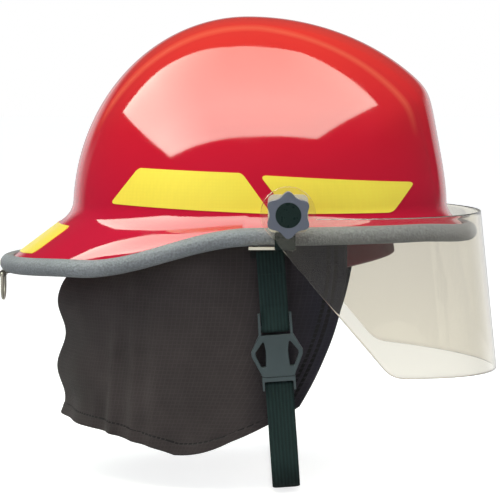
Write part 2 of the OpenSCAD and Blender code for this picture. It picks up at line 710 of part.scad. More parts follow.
// Ratchet at the nape: racks on the band's tails, moved by a pinion
pitch_r = gear_module * pinion_teeth / 2;
tooth_pitch = PI * gear_module;
addendum = 0.9 * gear_module;
dedendum = 1.2 * gear_module;
middle_z = head_high / 2;
rack_in = head_half + fit_gap;
rack_out = rack_in + rack_thick;
shoulder_angle = 21;
tail_end_angle = 29;
arm_end_angle = 11;
strip_half = pitch_r + dedendum + rack_arm;
module nape_shell(r0, r1, from, to, z0, z1) {
  translate([head_x, 0, 0]) rotate([0, 0, from]) rotate_extrude(angle = to - from, $fn = 120)
    translate([r0, z0]) square([r1 - r0, z1 - z0]);
}
// Teeth of a rack whose pitch line is the y axis, pointing down
module rack_teeth(reach) {
  half = tooth_pitch / 4 - backlash / 2;
  lean = addendum * tan(20);
  root = dedendum * tan(20);
  count = floor(reach / tooth_pitch);
  for (i = [-count:count - 1]) let (y = (i + 0.5) * tooth_pitch)
    polygon([[y - half + lean, -addendum], [y + half - lean, -addendum],
      [y + half + root, dedendum + 0.4], [y - half - root, dedendum + 0.4]]);
}
module tail_outline() {
  shoulder = (rack_in + rack_thick / 2) * sin(shoulder_angle);
  translate([-shoulder - 1, dedendum]) square([2 * shoulder + 1, rack_arm]);
  translate([-2 * shoulder, dedendum + rack_arm - 2 * strip_half]) square([shoulder, 2 * strip_half]);
  rack_teeth(shoulder);
}
module band_tail(side) {
  color([0.16, 0.16, 0.17]) head_frame() mirror([0, side > 0 ? 0 : 1, 0]) intersection() {
    nape_shell(rack_in, rack_out, 180 - tail_end_angle, 180 + arm_end_angle,
      middle_z - strip_half - 1, middle_z + strip_half + 1);
    translate([head_x, 0, middle_z + side * pitch_r]) scale([1, 1, side]) rotate([90, 0, -90])
      linear_extrude(2 * head_half) tail_outline();
  }
}
module band_tail_right() { band_tail(-1); }
module band_tail_left() { band_tail(1); }

wall_r = rack_out + fit_gap;
lid_half = strip_half + fit_gap;
module along_shaft(from, to) {
  translate([head_x - to, 0, middle_z]) rotate([0, 90, 0]) linear_extrude(to - from) children();
}
butt_angle = nape_gap - 0.15;
module ratchet_housing() {
  low = middle_z - lid_half - house_wall;
  color([0.14, 0.14, 0.15]) head_frame() {
    difference() {
      nape_shell(head_half - head_wall, head_half, 180 - butt_angle, 180 + butt_angle, low,
        low + 2 * (lid_half + house_wall));
      along_shaft(head_half - 10, head_half + 10) circle(shaft_wide / 2 + run_gap, $fn = 60);
    }
    for (z = [low, middle_z + lid_half])
      nape_shell(head_half - 0.5, wall_r, 180 - butt_angle, 180 + butt_angle, z, z + house_wall);
  }
}
module ratchet_cover() {
  color([0.12, 0.12, 0.13]) head_frame() difference() {
    nape_shell(wall_r + 0.1, wall_r + 0.1 + house_wall, 180 - house_angle, 180 + house_angle,
      middle_z - lid_half - house_wall, middle_z + lid_half + house_wall);
    along_shaft(wall_r - 10, wall_r + 10) circle(shaft_wide / 2 + run_gap, $fn = 60);
  }
}
cover_out = wall_r + 0.1 + house_wall;
pinion_lift = 0.2;
module pinion_tooth(a) {
  tip = pitch_r + addendum;
  root = pitch_r - dedendum - 0.2;
  half_pitch = 90 / pinion_teeth - backlash / 2 / pitch_r * 180 / PI;
  half_tip = half_pitch - tan(20) * addendum / pitch_r * 180 / PI;
  half_root = half_pitch + 2;
  function at(r, turn) = r * [cos(a + turn), sin(a + turn)];
  polygon([at(root, -half_root), at(pitch_r, -half_pitch), at(tip, -half_tip),
    at(tip, half_tip), at(pitch_r, half_pitch), at(root, half_root)]);
}
module ratchet_pinion() {
  color([0.7, 0.7, 0.7]) head_frame() {
    along_shaft(rack_in + pinion_lift, rack_out - pinion_lift) {
      circle(pitch_r - dedendum, $fn = 60);
      for (i = [0:pinion_teeth - 1]) pinion_tooth(i * 360 / pinion_teeth);
    }
    along_shaft(head_half - head_wall + 0.1, cover_out + dial_deep - 3) circle(shaft_wide / 2, $fn = 60);
  }
}
module ratchet_knob() {
  color([0.1, 0.1, 0.11]) head_frame() difference() {
    along_shaft(cover_out + stack_gap, cover_out + stack_gap + dial_deep) difference() {
      circle(dial_wide / 2, $fn = 90);
      for (i = [0:dial_ribs - 1]) rotate(i * 360 / dial_ribs)
        translate([dial_wide / 2 + 0.4, 0]) circle(1.4, $fn = 24);
    }
    along_shaft(cover_out - 1, cover_out + dial_deep - 3 + stack_gap) circle(shaft_wide / 2, $fn = 60);
  }
}

// Neck curtain: slices run round the back from one front edge to the other
curtain_x = -20;
curtain_front = 170;
blend_start = 1.5;
blend_z = 34;
rise_part = 0.73;
function low_part(z) = smooth((blend_start - z) / blend_z);
function curtain_half(z) = mix(curtain_top_half, curtain_low_half, low_part(z));
function curtain_rear(z) = mix(curtain_top_rear, curtain_low_rear, low_part(z)) + curtain_x;
function hem_z(a) = hem_rear_z - hem_side_drop * pow(min(1, a / rise_part), 2.5)
  + hem_corner_rise * pow(max(0, (a - rise_part) / (1 - rise_part)), 2.4);
front_bow = 0.00282;
function edge_angle(z) = acos((curtain_front_x - front_bow * z * z - curtain_x) / curtain_front);
buckle_pitch = 47;
buckle_z = -43;
function fold_out(a, z) =
  let (low = low_part(z))
  low * buckle_depth * cos(360 * (z - buckle_z) / buckle_pitch) * pow(cos(90 * min(1, abs(a) / 0.7)), 2)
  + flute_depth * cos(flute_count * 180 * a) * pow(max(0, (curtain_top_z - z) / 150), 1.5);
function curtain_point(a, v, inset) =
  let (z = mix(curtain_top_z, hem_z(abs(a)), v),
       angle = 180 - a * (180 - edge_angle(z)),
       grow = fold_out(a, z) - inset,
       long = (cos(angle) > 0 ? curtain_front : curtain_rear(z)) + grow)
  [curtain_x + long * cos(angle), -(curtain_half(z) + grow) * sin(angle), z];
curtain_rings = 38;
curtain_rows = 14;
module neck_curtain() {
  color([0.25, 0.22, 0.22])
    loft([for (i = [0:curtain_rings]) let (a = mix(-1, 1, i / curtain_rings)) concat(
      [for (k = [0:curtain_rows]) curtain_point(a, k / curtain_rows, 0)],
      [for (k = [curtain_rows:-1:0]) curtain_point(a, k / curtain_rows, curtain_thick)])]);
}
// The strip under the liner that the curtain's top edge is fastened to
module curtain_outline(inset) {
  polygon([for (i = [0:71]) let (a = i * 5,
    long = (cos(a) > 0 ? curtain_front : curtain_top_rear + curtain_x) - inset)
    [curtain_x + long * cos(a), (curtain_top_half - inset) * sin(a)]]);
}
strip_gap = 0.1;
strip_clear = 0.5;
module curtain_strip() {
  outside = curtain_thick + strip_clear;
  color([0.15, 0.15, 0.16]) translate([0, 0, liner_z - strip_gap - strip_high]) linear_extrude(strip_high)
    intersection() {
      difference() {
        curtain_outline(outside);
        curtain_outline(outside + strip_thick);
      }
      translate([-200, -200]) square([200 + curtain_front_x - 4, 400]);
    }
}

// Face shield, in the frame of its lean about the pivots
module pivot_frame() { translate([pivot_x, 0, pivot_z]) rotate([0, -shield_lean, 0]) children(); }
module across(half) { translate([0, half, 0]) rotate([90, 0, 0]) linear_extrude(2 * half) children(); }
shield_edge_angle = 56;
hem_slope = 0.172;
module shield_side() {
  start = ear_r * [-sin(shield_edge_angle), -cos(shield_edge_angle)];
  front = shield_r + 6;
  fall = -start.y - shield_deep + hem_slope * (shield_r - start.x);
  run = fall / (hem_slope * cos(shield_edge_angle) - sin(shield_edge_angle));
  low = start + run * [cos(shield_edge_angle), -sin(shield_edge_angle)];
  circle(ear_r, $fn = 120);
  difference() {
    polygon([start, low, [front, -shield_deep - hem_slope * (front - shield_r)],
      [front, mix(-shield_top_ear, -shield_top_front, front / shield_r)], [0, -shield_top_ear], [0, 0]]);
    // round the lower corner
    corner = shield_corner;
    bend = shield_edge_angle - atan(hem_slope);
    cut = corner * tan(bend / 2);
    centre = low + [cos(shield_edge_angle), -sin(shield_edge_angle)] * -cut
      + corner * [sin(shield_edge_angle), cos(shield_edge_angle)];
    difference() {
      polygon([low + [-cos(shield_edge_angle), sin(shield_edge_angle)] * cut, low,
        low + [1, -hem_slope] / norm([1, hem_slope]) * cut, centre]);
      translate(centre) circle(corner, $fn = 120);
    }
  }
}
module shield_plan(r) {
  circle(r, $fn = 180);
  translate([-2 * ear_r, -r]) square([2 * ear_r, 2 * r]);
}
module face_shield() {
  color([0.85, 0.82, 0.75, 0.5]) pivot_frame() difference() {
    intersection() {
      translate([0, 0, -shield_deep - 10]) linear_extrude(shield_deep + ear_r + 20) difference() {
        shield_plan(shield_r + shield_thick);
        shield_plan(shield_r);
      }
      across(shield_r + shield_thick + 10) shield_side();
    }
    across(shield_r + shield_thick + 10) circle(stud_wide / 2 + run_gap, $fn = 60);
  }
}

// Hardware on the right is drawn outwards from the middle, and mirrored for the left
module hand(side) { mirror([0, side > 0 ? 1 : 0, 0]) children(); }
module outward(x, z, from, to) {
  translate([x, -from, z]) rotate([90, 0, 0]) linear_extrude(to - from) children();
}
module round_box(wide, low, high, r) {
  translate([0, (low + high) / 2]) {
    square([wide - 2 * r, high - low], center = true);
    square([wide, high - low - 2 * r], center = true);
    for (sx = [-1, 1]) for (sy = [-1, 1])
      translate([sx * (wide / 2 - r), sy * ((high - low) / 2 - r)]) circle(r, $fn = 48);
  }
}
ear_out = shield_r + shield_thick;
washer_out = ear_out + stack_gap + washer_thick;
knob_in = washer_out + stack_gap;
knob_out = knob_in + knob_deep;
recess_deep = cap_deep + 0.2;
plate_low = 12.4;
plate_high = 13;
module knob_outline() {
  polygon([for (i = [0:119]) let (a = i * 3, s = pow(0.5 + 0.5 * cos(knob_lobes * (a - 90)), 1.3))
    mix(knob_waist, knob_r, s) * [cos(a), sin(a)]]);
}
module shield_knob(side) {
  color([0.36, 0.37, 0.39]) hand(side) difference() {
    outward(pivot_x, pivot_z, knob_in, knob_out) knob_outline();
    outward(pivot_x, pivot_z, knob_in - 1, knob_out + 1) circle(stud_wide / 2 + run_gap, $fn = 60);
    outward(pivot_x, pivot_z, knob_out - recess_deep, knob_out + 1)
      circle(cap_wide / 2 + run_gap, $fn = 90);
  }
}
module knob_cap(side) {
  color([0.11, 0.16, 0.16]) hand(side)
    outward(pivot_x, pivot_z, knob_out - cap_deep, knob_out) circle(cap_wide / 2, $fn = 90);
}
module shield_knob_right() { shield_knob(-1); }
module shield_knob_left() { shield_knob(1); }
module knob_cap_right() { knob_cap(-1); }
module knob_cap_left() { knob_cap(1); }
stud_head = 2;
module shield_stud(side) {
  color([0.75, 0.76, 0.78]) hand(side) {
    outward(pivot_x, pivot_z, plate_y - sheet - stud_head, plate_y - sheet) circle(stud_wide, $fn = 60);
    outward(pivot_x, pivot_z, plate_y - sheet - 0.5, knob_out - recess_deep - 0.5)
      circle(stud_wide / 2, $fn = 60);
  }
}
module shield_stud_right() { shield_stud(-1); }
module shield_stud_left() { shield_stud(1); }
module inner_washers() {
  color([0.2, 0.2, 0.2]) for (side = [-1, 1]) hand(side)
    outward(pivot_x, pivot_z, plate_y + stack_gap, shield_r - fit_gap) difference() {
      circle(spacer_wide / 2, $fn = 90);
      circle(stud_wide / 2 + run_gap, $fn = 60);
    }
}
module outer_washers() {
  color([0.15, 0.15, 0.15]) for (side = [-1, 1]) hand(side)
    outward(pivot_x, pivot_z, ear_out + stack_gap, washer_out) difference() {
      circle(washer_wide / 2, $fn = 90);
      circle(stud_wide / 2 + run_gap, $fn = 60);
    }
}

// The bracket is one bent sheet: plate outside, neck and foot under the trim, tab inside
foot_low = foot_z - sheet;
tab_half = 6;
tab_back = 1.5;
tab_rise = 4.8;
tab_thick = 1.2;
tab_out = foot_y + tab_thick;
module shield_bracket(side) {
  color([0.84, 0.84, 0.82]) hand(side) difference() {
    union() {
      outward(pivot_x, pivot_z, plate_y - sheet, plate_y) round_box(plate_wide, -plate_low, plate_high, 4);
      outward(neck_x, 0, plate_y - sheet, plate_y)
        translate([-neck_wide / 2, foot_low]) square([neck_wide, pivot_z - plate_low + 4 - foot_low]);
      translate([foot_x - foot_wide / 2, -plate_y, foot_low]) cube([foot_wide, plate_y - foot_y, sheet]);
      outward(strap_x - tab_back, 0, foot_y, tab_out)
        translate([-tab_half, foot_low]) square([2 * tab_half, strap_z + tab_rise - foot_low]);
    }
    outward(pivot_x, pivot_z, plate_y - 10, plate_y + 10) circle(stud_wide / 2 + run_gap, $fn = 60);
    outward(strap_x, strap_z, foot_y - 5, foot_y + 5) circle(rivet_wide / 2 + run_gap, $fn = 60);
    for (s = [-1, 1]) translate([foot_x + s * screw_x, -screw_y, foot_low - 1])
      cylinder(h = sheet + 2, d = screw_wide + 2 * run_gap, $fn = 48);
  }
}
module shield_bracket_right() { shield_bracket(-1); }
module shield_bracket_left() { shield_bracket(1); }
sleeve_thick = 1.3;
module bracket_sleeves() {
  color([0.13, 0.16, 0.16]) for (side = [-1, 1]) hand(side)
    outward(neck_x, 0, plate_y + 0.1, plate_y + 0.1 + sleeve_thick)
      round_box(neck_wide, foot_low, pivot_z - washer_wide / 2 - fit_gap, 1);
}
screw_x = 11;
screw_y = rim_half - 2.5;
screw_long = 9;
screw_head = 1.8;
module bracket_screws() {
  color([0.7, 0.7, 0.72]) for (side = [-1, 1]) hand(side) for (s = [-1, 1])
    translate([foot_x + s * screw_x, -screw_y, foot_low - screw_head]) {
      cylinder(h = screw_head, d = screw_wide * 1.8, $fn = 48);
      cylinder(h = screw_head + screw_long, d = screw_wide, $fn = 48);
    }
}

// Chin strap, drawn straight down from its pivot and then leaned forwards
module strap_frame() { translate([strap_x, 0, strap_z]) rotate([0, -strap_lean, 0]) children(); }
module webbing() {
  translate([-web_wide / 2, 0, 0]) rotate([90, 0, 90]) linear_extrude(web_wide) children();
}
module run(half, from, to) {
  translate([0, -from]) circle(half, $fn = 48);
  translate([0, -to]) circle(half, $fn = 48);
  translate([-half, -to]) square([2 * half, to - from]);
}
module fold(from, to) {
  difference() {
    run(fold_half + web_thick, from, to);
    run(fold_half, from, to);
  }
}
module strap_slab(from, to) {
  translate([0, -from, 0]) rotate([90, 0, 0]) linear_extrude(to - from) scale([1, -1]) children();
}
fold_seat = 0.7;
hanger_bar = 9.5;
hanger_bar_high = 3.5;
hanger_half = 13.5;
hanger_top = 5;
slot_half_wide = web_wide / 2 + 0.4;
module strap_hanger(side) {
  y0 = strap_y - hanger_thick / 2;
  color([0.6, 0.6, 0.6]) hand(side) strap_frame() strap_slab(y0, y0 + hanger_thick) difference() {
    polygon(both([[hanger_top, -hanger_top], [hanger_half, hanger_top],
      [hanger_half, hanger_bar + hanger_bar_high]]));
    circle(rivet_wide / 2 + run_gap, $fn = 60);
    translate([-slot_half_wide, hanger_bar - fold_half - web_thick + fold_seat - 0.4])
      square([2 * slot_half_wide, fold_half + web_thick - fold_seat + 0.4]);
  }
}
module strap_hanger_right() { strap_hanger(-1); }
module strap_hanger_left() { strap_hanger(1); }
rivet_head = 1;
module strap_rivets() {
  inside = strap_y - hanger_thick / 2 - stack_gap;
  outside = strap_y + hanger_thick / 2 + stack_gap;
  color([0.7, 0.7, 0.72]) for (side = [-1, 1]) hand(side) {
    outward(strap_x, strap_z, inside - rivet_head, inside) circle(rivet_wide * 0.9, $fn = 48);
    outward(strap_x, strap_z, inside - rivet_head / 2, tab_out) circle(rivet_wide / 2, $fn = 48);
    outward(strap_x, strap_z, outside, foot_y - 0.05) circle(rivet_wide * 0.8, $fn = 48);
  }
}
socket_bar = 9;
bar_high = 2.5;
bar_thick = 2;
module strap_upper_right() {
  color([0.13, 0.18, 0.17]) hand(-1) strap_frame() webbing() translate([-strap_y, 0])
    fold(hanger_bar + fold_seat, buckle_start + socket_bar + bar_high - fold_seat);
}
slider_start = 66;
module strap_upper_left() {
  color([0.13, 0.18, 0.17]) hand(1) strap_frame() webbing() translate([-strap_y, 0])
    fold(hanger_bar + fold_seat, slider_start + socket_bar + bar_high - fold_seat);
}

// Buckle outlines, in x across the strap and y down from the buckle's upper end
function both(points) = concat(points, reversed([for (p = points) [-p.x, p.y]]));
module both_sides() { children(); mirror([1, 0]) children(); }
block_top = 15;
block_low = 18;
guard_at = 26;
throat_at = 37;
module buckle_frame() { strap_frame() translate([0, 0, -buckle_start]) children(); }
module socket_outline() {
  polygon(both([[socket_half, 0], [socket_half + 0.4, block_top], [guard_half, guard_at],
    [guard_half - 0.2, guard_at + 3], [throat_half + 3.2, throat_at + 4],
    [throat_half + 2.2, socket_long]]));
}
guard_wall = 2.4;
module socket_cavity() {
  polygon(both([[throat_half + 1.4, block_low], [guard_half - guard_wall, guard_at + 0.5],
    [guard_half - guard_wall - 0.2, guard_at + 3], [throat_half + 3, throat_at], [throat_half, throat_at],
    [throat_half, socket_long + 1]]));
}
module socket_window() {
  waist = throat_half - 1.1;
  polygon([[throat_half + 1, block_low + 1.5], [guard_half - guard_wall - 0.4, guard_at + 0.3],
    [guard_half - guard_wall - 0.6, guard_at + 3], [throat_half + 2.6, throat_at - 0.4],
    [throat_half - 0.4, throat_at - 0.4],
    [waist, guard_at + 5], [waist, guard_at - 1], [throat_half, block_low + 1.5]]);
}
module buckle_socket() {
  deep = buckle_deep / 2;
  color([0.28, 0.31, 0.32]) hand(-1) buckle_frame() {
    difference() {
      strap_slab(strap_y - deep, strap_y + deep) difference() {
        socket_outline();
        translate([-slot_half_wide, -1]) square([2 * slot_half_wide, block_top + 1]);
        both_sides() socket_window();
      }
      strap_slab(strap_y - deep + face_thick, strap_y + deep - face_thick) socket_cavity();
    }
    strap_slab(strap_y - bar_thick / 2, strap_y + bar_thick / 2)
      translate([-slot_half_wide - 0.5, socket_bar]) square([2 * slot_half_wide + 1, bar_high]);
  }
}
prong_x = 6.8;
plug_top = socket_long + buckle_gap;
root_r = 1.2;
root_at = plug_top + 1.5;
plug_block = 2.9;
plug_bar = plug_top + 5.2;
plug_bar_high = 2.2;
plug_half = slot_half_wide + 1.4;
prong_thick = buckle_deep - 2 * face_thick - 2 * buckle_gap;
root_room = prong_thick / 2 + buckle_gap;
module buckle_plug() {
  deep = buckle_deep / 2;
  color([0.26, 0.29, 0.3]) hand(-1) buckle_frame() {
    difference() {
      strap_slab(strap_y - deep, strap_y + deep)
        translate([-plug_half, plug_top]) square([2 * plug_half, plug_block]);
      strap_slab(strap_y - root_room, strap_y + root_room) both_sides() {
        translate([prong_x, root_at]) circle(root_r + buckle_gap / 2, $fn = 48);
        polygon([[prong_x - root_r - 1.8, plug_top - 1], [prong_x + root_r + 1.1, plug_top - 1],
          [prong_x + root_r, root_at], [prong_x - root_r, root_at]]);
      }
    }
    strap_slab(strap_y - deep, strap_y + deep) for (s = [-1, 1])
      translate([s > 0 ? slot_half_wide : -plug_half, plug_top + plug_block - 0.2])
        square([plug_half - slot_half_wide, plug_long - plug_block + 0.2]);
    strap_slab(strap_y - bar_thick / 2, strap_y + bar_thick / 2)
      translate([-slot_half_wide - 0.4, plug_bar]) square([2 * slot_half_wide + 0.8, plug_bar_high]);
  }
}
module prong(s) {
  out = throat_half - buckle_gap;
  outline = [[out, root_at - root_r], [out, throat_at - 1], [out - 0.4, guard_at + 4],
    [out - 0.6, guard_at], [out, block_low + 3], [out - 1.4, block_low + 1.8],
    [out - 2.4, block_low + 2.6], [prong_x - 0.9, guard_at], [prong_x - 0.9, root_at]];
  color([0.3, 0.33, 0.34]) hand(-1) buckle_frame()
    strap_slab(strap_y - prong_thick / 2, strap_y + prong_thick / 2) {
      translate([s * prong_x, root_at]) circle(root_r, $fn = 48);
      polygon([for (p = s > 0 ? reversed(outline) : outline) [s * p.x, p.y]]);
    }
}
module prong_front() { prong(1); }
module prong_rear() { prong(-1); }

// The loop under the chin: folded through the plug on the right, free above the slider on the left
loop_right = strap_y + fold_half;
loop_left = strap_y + fold_half + web_thick + fit_gap;
fold_end = 24;
module loop_corner_arc(y, turn) {
  translate([y, -loop_low + loop_corner]) rotate(turn) intersection() {
    difference() {
      circle(loop_corner, $fn = 120);
      circle(loop_corner - web_thick, $fn = 120);
    }
    square(loop_corner + 1);
  }
}
module chin_loop() {
  start = buckle_start + plug_bar + fold_seat;
  turn_z = -loop_low + loop_corner;
  right = -loop_right - web_thick;
  left = loop_left + web_thick;
  color([0.11, 0.17, 0.16]) strap_frame() webbing() {
    translate([-strap_y, 0]) fold(start, start + fold_end);
    translate([right, turn_z]) square([web_thick, loop_low - loop_corner - start]);
    loop_corner_arc(right + loop_corner, 180);
    translate([right + loop_corner, -loop_low]) square([left - right - 2 * loop_corner, web_thick]);
    loop_corner_arc(left - loop_corner, 270);
    translate([left - web_thick, turn_z]) square([web_thick, loop_low - loop_corner - loop_tail]);
  }
}
slider_half = 12.5;
slider_long = 21;
module strap_slider() {
  inner = strap_y - buckle_deep / 2;
  outer = loop_left + web_thick + fit_gap + 1.4;
  color([0.26, 0.29, 0.3]) hand(1) strap_frame() translate([0, 0, -slider_start]) {
    strap_slab(inner, outer) for (s = [-1, 1])
      translate([s > 0 ? slot_half_wide : -slider_half, 0])
        square([slider_half - slot_half_wide, slider_long]);
    strap_slab(strap_y - bar_thick / 2, strap_y + bar_thick / 2)
      translate([-slot_half_wide - 0.5, socket_bar]) square([2 * slot_half_wide + 1, bar_high]);
    strap_slab(outer - 1.4, outer) for (at = [socket_bar - 2, slider_long - 3])
      translate([-slot_half_wide - 0.5, at]) square([2 * slot_half_wide + 1, 3]);
    strap_slab(loop_left - fit_gap - 1.4, loop_left - fit_gap)
      translate([-slot_half_wide - 0.5, slider_long - 3]) square([2 * slot_half_wide + 1, 3]);
  }
}

// Hang ring at the back: a strip under the brim and the trim, curled round the ring's straight bar
hang_angle = -25;
strip_start = 240;
bead_clear = 0.45;
strip_r = bead_long / 2 + bead_clear;
curl_r = ring_wire / 2 + 0.2;
bar_r = strip_r + ring_sheet + curl_r;
strip_drop = shell_wall / 2 + 0.45;
strip_near = 10.9;
strip_far = 27;
brim_long = norm(ring_point(180, 0) - rim_point(180));
function under(u) = -strip_drop - shell_wall / 2 * u / brim_long;
rivet_near = 14.5;
rivet_far = 22;
rivet_body = 3.2;
module rear_sketch() {
  o = rim_point(180);
  d = brim_dir(180);
  n = brim_up(180);
  multmatrix([[d.x, n.x, 0, o.x], [d.y, n.y, 1, o.y], [d.z, n.z, 0, o.z], [0, 0, 0, 1]]) children();
}
module ring_bracket() {
  seat = [-bead_back, 0] + (strip_r + 0.4) * [cos(strip_start), sin(strip_start)];
  seat_low = [-bead_back, 0] + (strip_r + ring_sheet) * [cos(strip_start), sin(strip_start)];
  color([0.55, 0.56, 0.57]) rear_sketch() difference() {
    linear_extrude(ring_bracket_wide, center = true) {
      difference() {
        union() {
          translate([-bead_back, 0]) intersection() {
            difference() {
              circle(strip_r + ring_sheet, $fn = 96);
              circle(strip_r, $fn = 96);
            }
            polygon([[0, 0], 40 * [cos(strip_start - 4), sin(strip_start - 4)], [0, -60],
              40 * [cos(hang_angle), sin(hang_angle)]]);
          }
          translate([-bead_back, 0]) rotate(hang_angle) translate([bar_r, 0])
            circle(curl_r + ring_sheet, $fn = 60);
        }
        translate([-bead_back, 0]) rotate(hang_angle) translate([bar_r, 0]) circle(curl_r, $fn = 60);
        translate([-bead_back, 0]) circle(strip_r, $fn = 96);
      }
      polygon(reversed([[-strip_far, under(strip_far)], [-strip_near, under(strip_near)],
        [-strip_near + 1.7, -4.8], seat, seat_low, [-strip_near + 1, -5.9],
        [-strip_near - 0.5, under(strip_near) - ring_sheet], [-strip_far, under(strip_far) - ring_sheet]]));
    }
    for (u = [rivet_near, rivet_far]) translate([-u, 0, 0]) rotate([90, 0, 0])
      cylinder(h = 3 * strip_drop, d = rivet_body + 2 * run_gap, $fn = 48);
  }
}
module ring_rivets() {
  head_high = 1.1;
  sunk = 2.2;
  color([0.6, 0.6, 0.62]) rear_sketch() for (u = [rivet_near, rivet_far])
    translate([-u, under(u) - ring_sheet, 0]) rotate([-90, 0, 0]) {
      translate([0, 0, -head_high - 0.1]) cylinder(h = head_high, d = rivet_body + 2.4, $fn = 48);
      translate([0, 0, -head_high / 2])
        cylinder(h = head_high / 2 + ring_sheet + sunk, d = rivet_body, $fn = 48);
    }
}
module hang_ring() {
  o = rim_point(180);
  c = o + brim_dir(180) * (bar_r * cos(hang_angle) - bead_back) + brim_up(180) * bar_r * sin(hang_angle);
  leg = ring_drop - ring_half;
  color([0.8, 0.78, 0.74]) translate(c) {
    rotate([90, 0, 0]) cylinder(h = 2 * ring_half, d = ring_wire, center = true, $fn = 40);
    for (s = [-1, 1]) translate([0, s * ring_half, 0]) {
      sphere(d = ring_wire, $fn = 40);
      translate([0, 0, -leg]) cylinder(h = leg, d = ring_wire, $fn = 40);
    }
    translate([0, 0, -leg]) rotate([0, 90, 0]) rotate([0, 0, -90]) rotate_extrude(angle = 180, $fn = 96)
      translate([ring_half, 0]) circle(ring_wire / 2, $fn = 40);
  }
}

outer_shell();
edge_trim();
marking_rear_right();
marking_rear_left();
marking_front_right();
marking_front_left();
marking_brim();
impact_liner();
inner_cap();
crown_strap_cross();
crown_strap_diagonal_right();
crown_strap_diagonal_left();
suspension_keys();
headband();
brow_pad();
nape_pad();
band_tail_right();
band_tail_left();
ratchet_housing();
ratchet_cover();
ratchet_pinion();
ratchet_knob();
curtain_strip();
neck_curtain();
face_shield();
shield_knob_right();
shield_knob_left();
knob_cap_right();
knob_cap_left();
shield_stud_right();
shield_stud_left();
inner_washers();
outer_washers();
shield_bracket_right();
shield_bracket_left();
bracket_sleeves();
bracket_screws();
strap_rivets();
strap_hanger_right();
strap_hanger_left();
strap_upper_right();
strap_upper_left();
buckle_socket();
buckle_plug();
prong_front();
prong_rear();
chin_loop();
strap_slider();
ring_bracket();
ring_rivets();
hang_ring();
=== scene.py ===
import math

import bmesh
import bpy
import numpy as np
from mathutils import Matrix, Vector
from mathutils.bvhtree import BVHTree


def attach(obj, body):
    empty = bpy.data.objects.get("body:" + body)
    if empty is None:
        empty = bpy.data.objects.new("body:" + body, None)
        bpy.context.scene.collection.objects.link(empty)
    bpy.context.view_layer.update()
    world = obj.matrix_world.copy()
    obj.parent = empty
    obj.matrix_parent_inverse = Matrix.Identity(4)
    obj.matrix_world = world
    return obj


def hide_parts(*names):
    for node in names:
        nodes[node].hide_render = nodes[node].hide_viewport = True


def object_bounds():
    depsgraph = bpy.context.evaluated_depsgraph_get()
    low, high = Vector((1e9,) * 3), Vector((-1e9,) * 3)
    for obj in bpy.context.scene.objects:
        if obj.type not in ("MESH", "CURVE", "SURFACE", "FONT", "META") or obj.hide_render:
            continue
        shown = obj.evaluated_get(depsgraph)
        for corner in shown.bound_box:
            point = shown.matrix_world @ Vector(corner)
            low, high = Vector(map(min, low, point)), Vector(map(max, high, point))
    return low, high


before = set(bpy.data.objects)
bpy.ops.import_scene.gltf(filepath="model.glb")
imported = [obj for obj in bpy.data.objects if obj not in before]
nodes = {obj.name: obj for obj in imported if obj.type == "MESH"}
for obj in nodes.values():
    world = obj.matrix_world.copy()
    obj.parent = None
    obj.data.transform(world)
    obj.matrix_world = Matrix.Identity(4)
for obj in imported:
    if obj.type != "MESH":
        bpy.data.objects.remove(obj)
cad_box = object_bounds()
MM = 0.001
RAD = math.pi / 180
FULL_TURN = 2 * math.pi
WELD = 1e-6
rng = np.random.default_rng(7)


# Small helpers
def mix(a, b, s):
    return a + (b - a) * s


def smooth(v):
    """Goes softly from 0 to 1 while v does."""
    c = np.clip(v, 0, 1)
    return c * c * (3 - 2 * c)


def unit(v):
    v = np.asarray(v, float)
    return v / np.maximum(np.linalg.norm(v, axis=-1, keepdims=True), 1e-12)


def turned(a):
    """Cosine and sine of an angle in degrees."""
    return math.cos(a * RAD), math.sin(a * RAD)


def border(grid):
    """The points round the edge of a grid, as one ring."""
    return np.vstack([grid[0, :-1], grid[:-1, -1], grid[-1, :0:-1], grid[:0:-1, 0]])


def srgb(r, g, b):
    """A colour given in 0-255 sRGB, as linear RGBA."""
    def one(c):
        c /= 255
        return c / 12.92 if c <= 0.04045 else ((c + 0.055) / 1.055) ** 2.4
    return (one(r), one(g), one(b), 1.0)


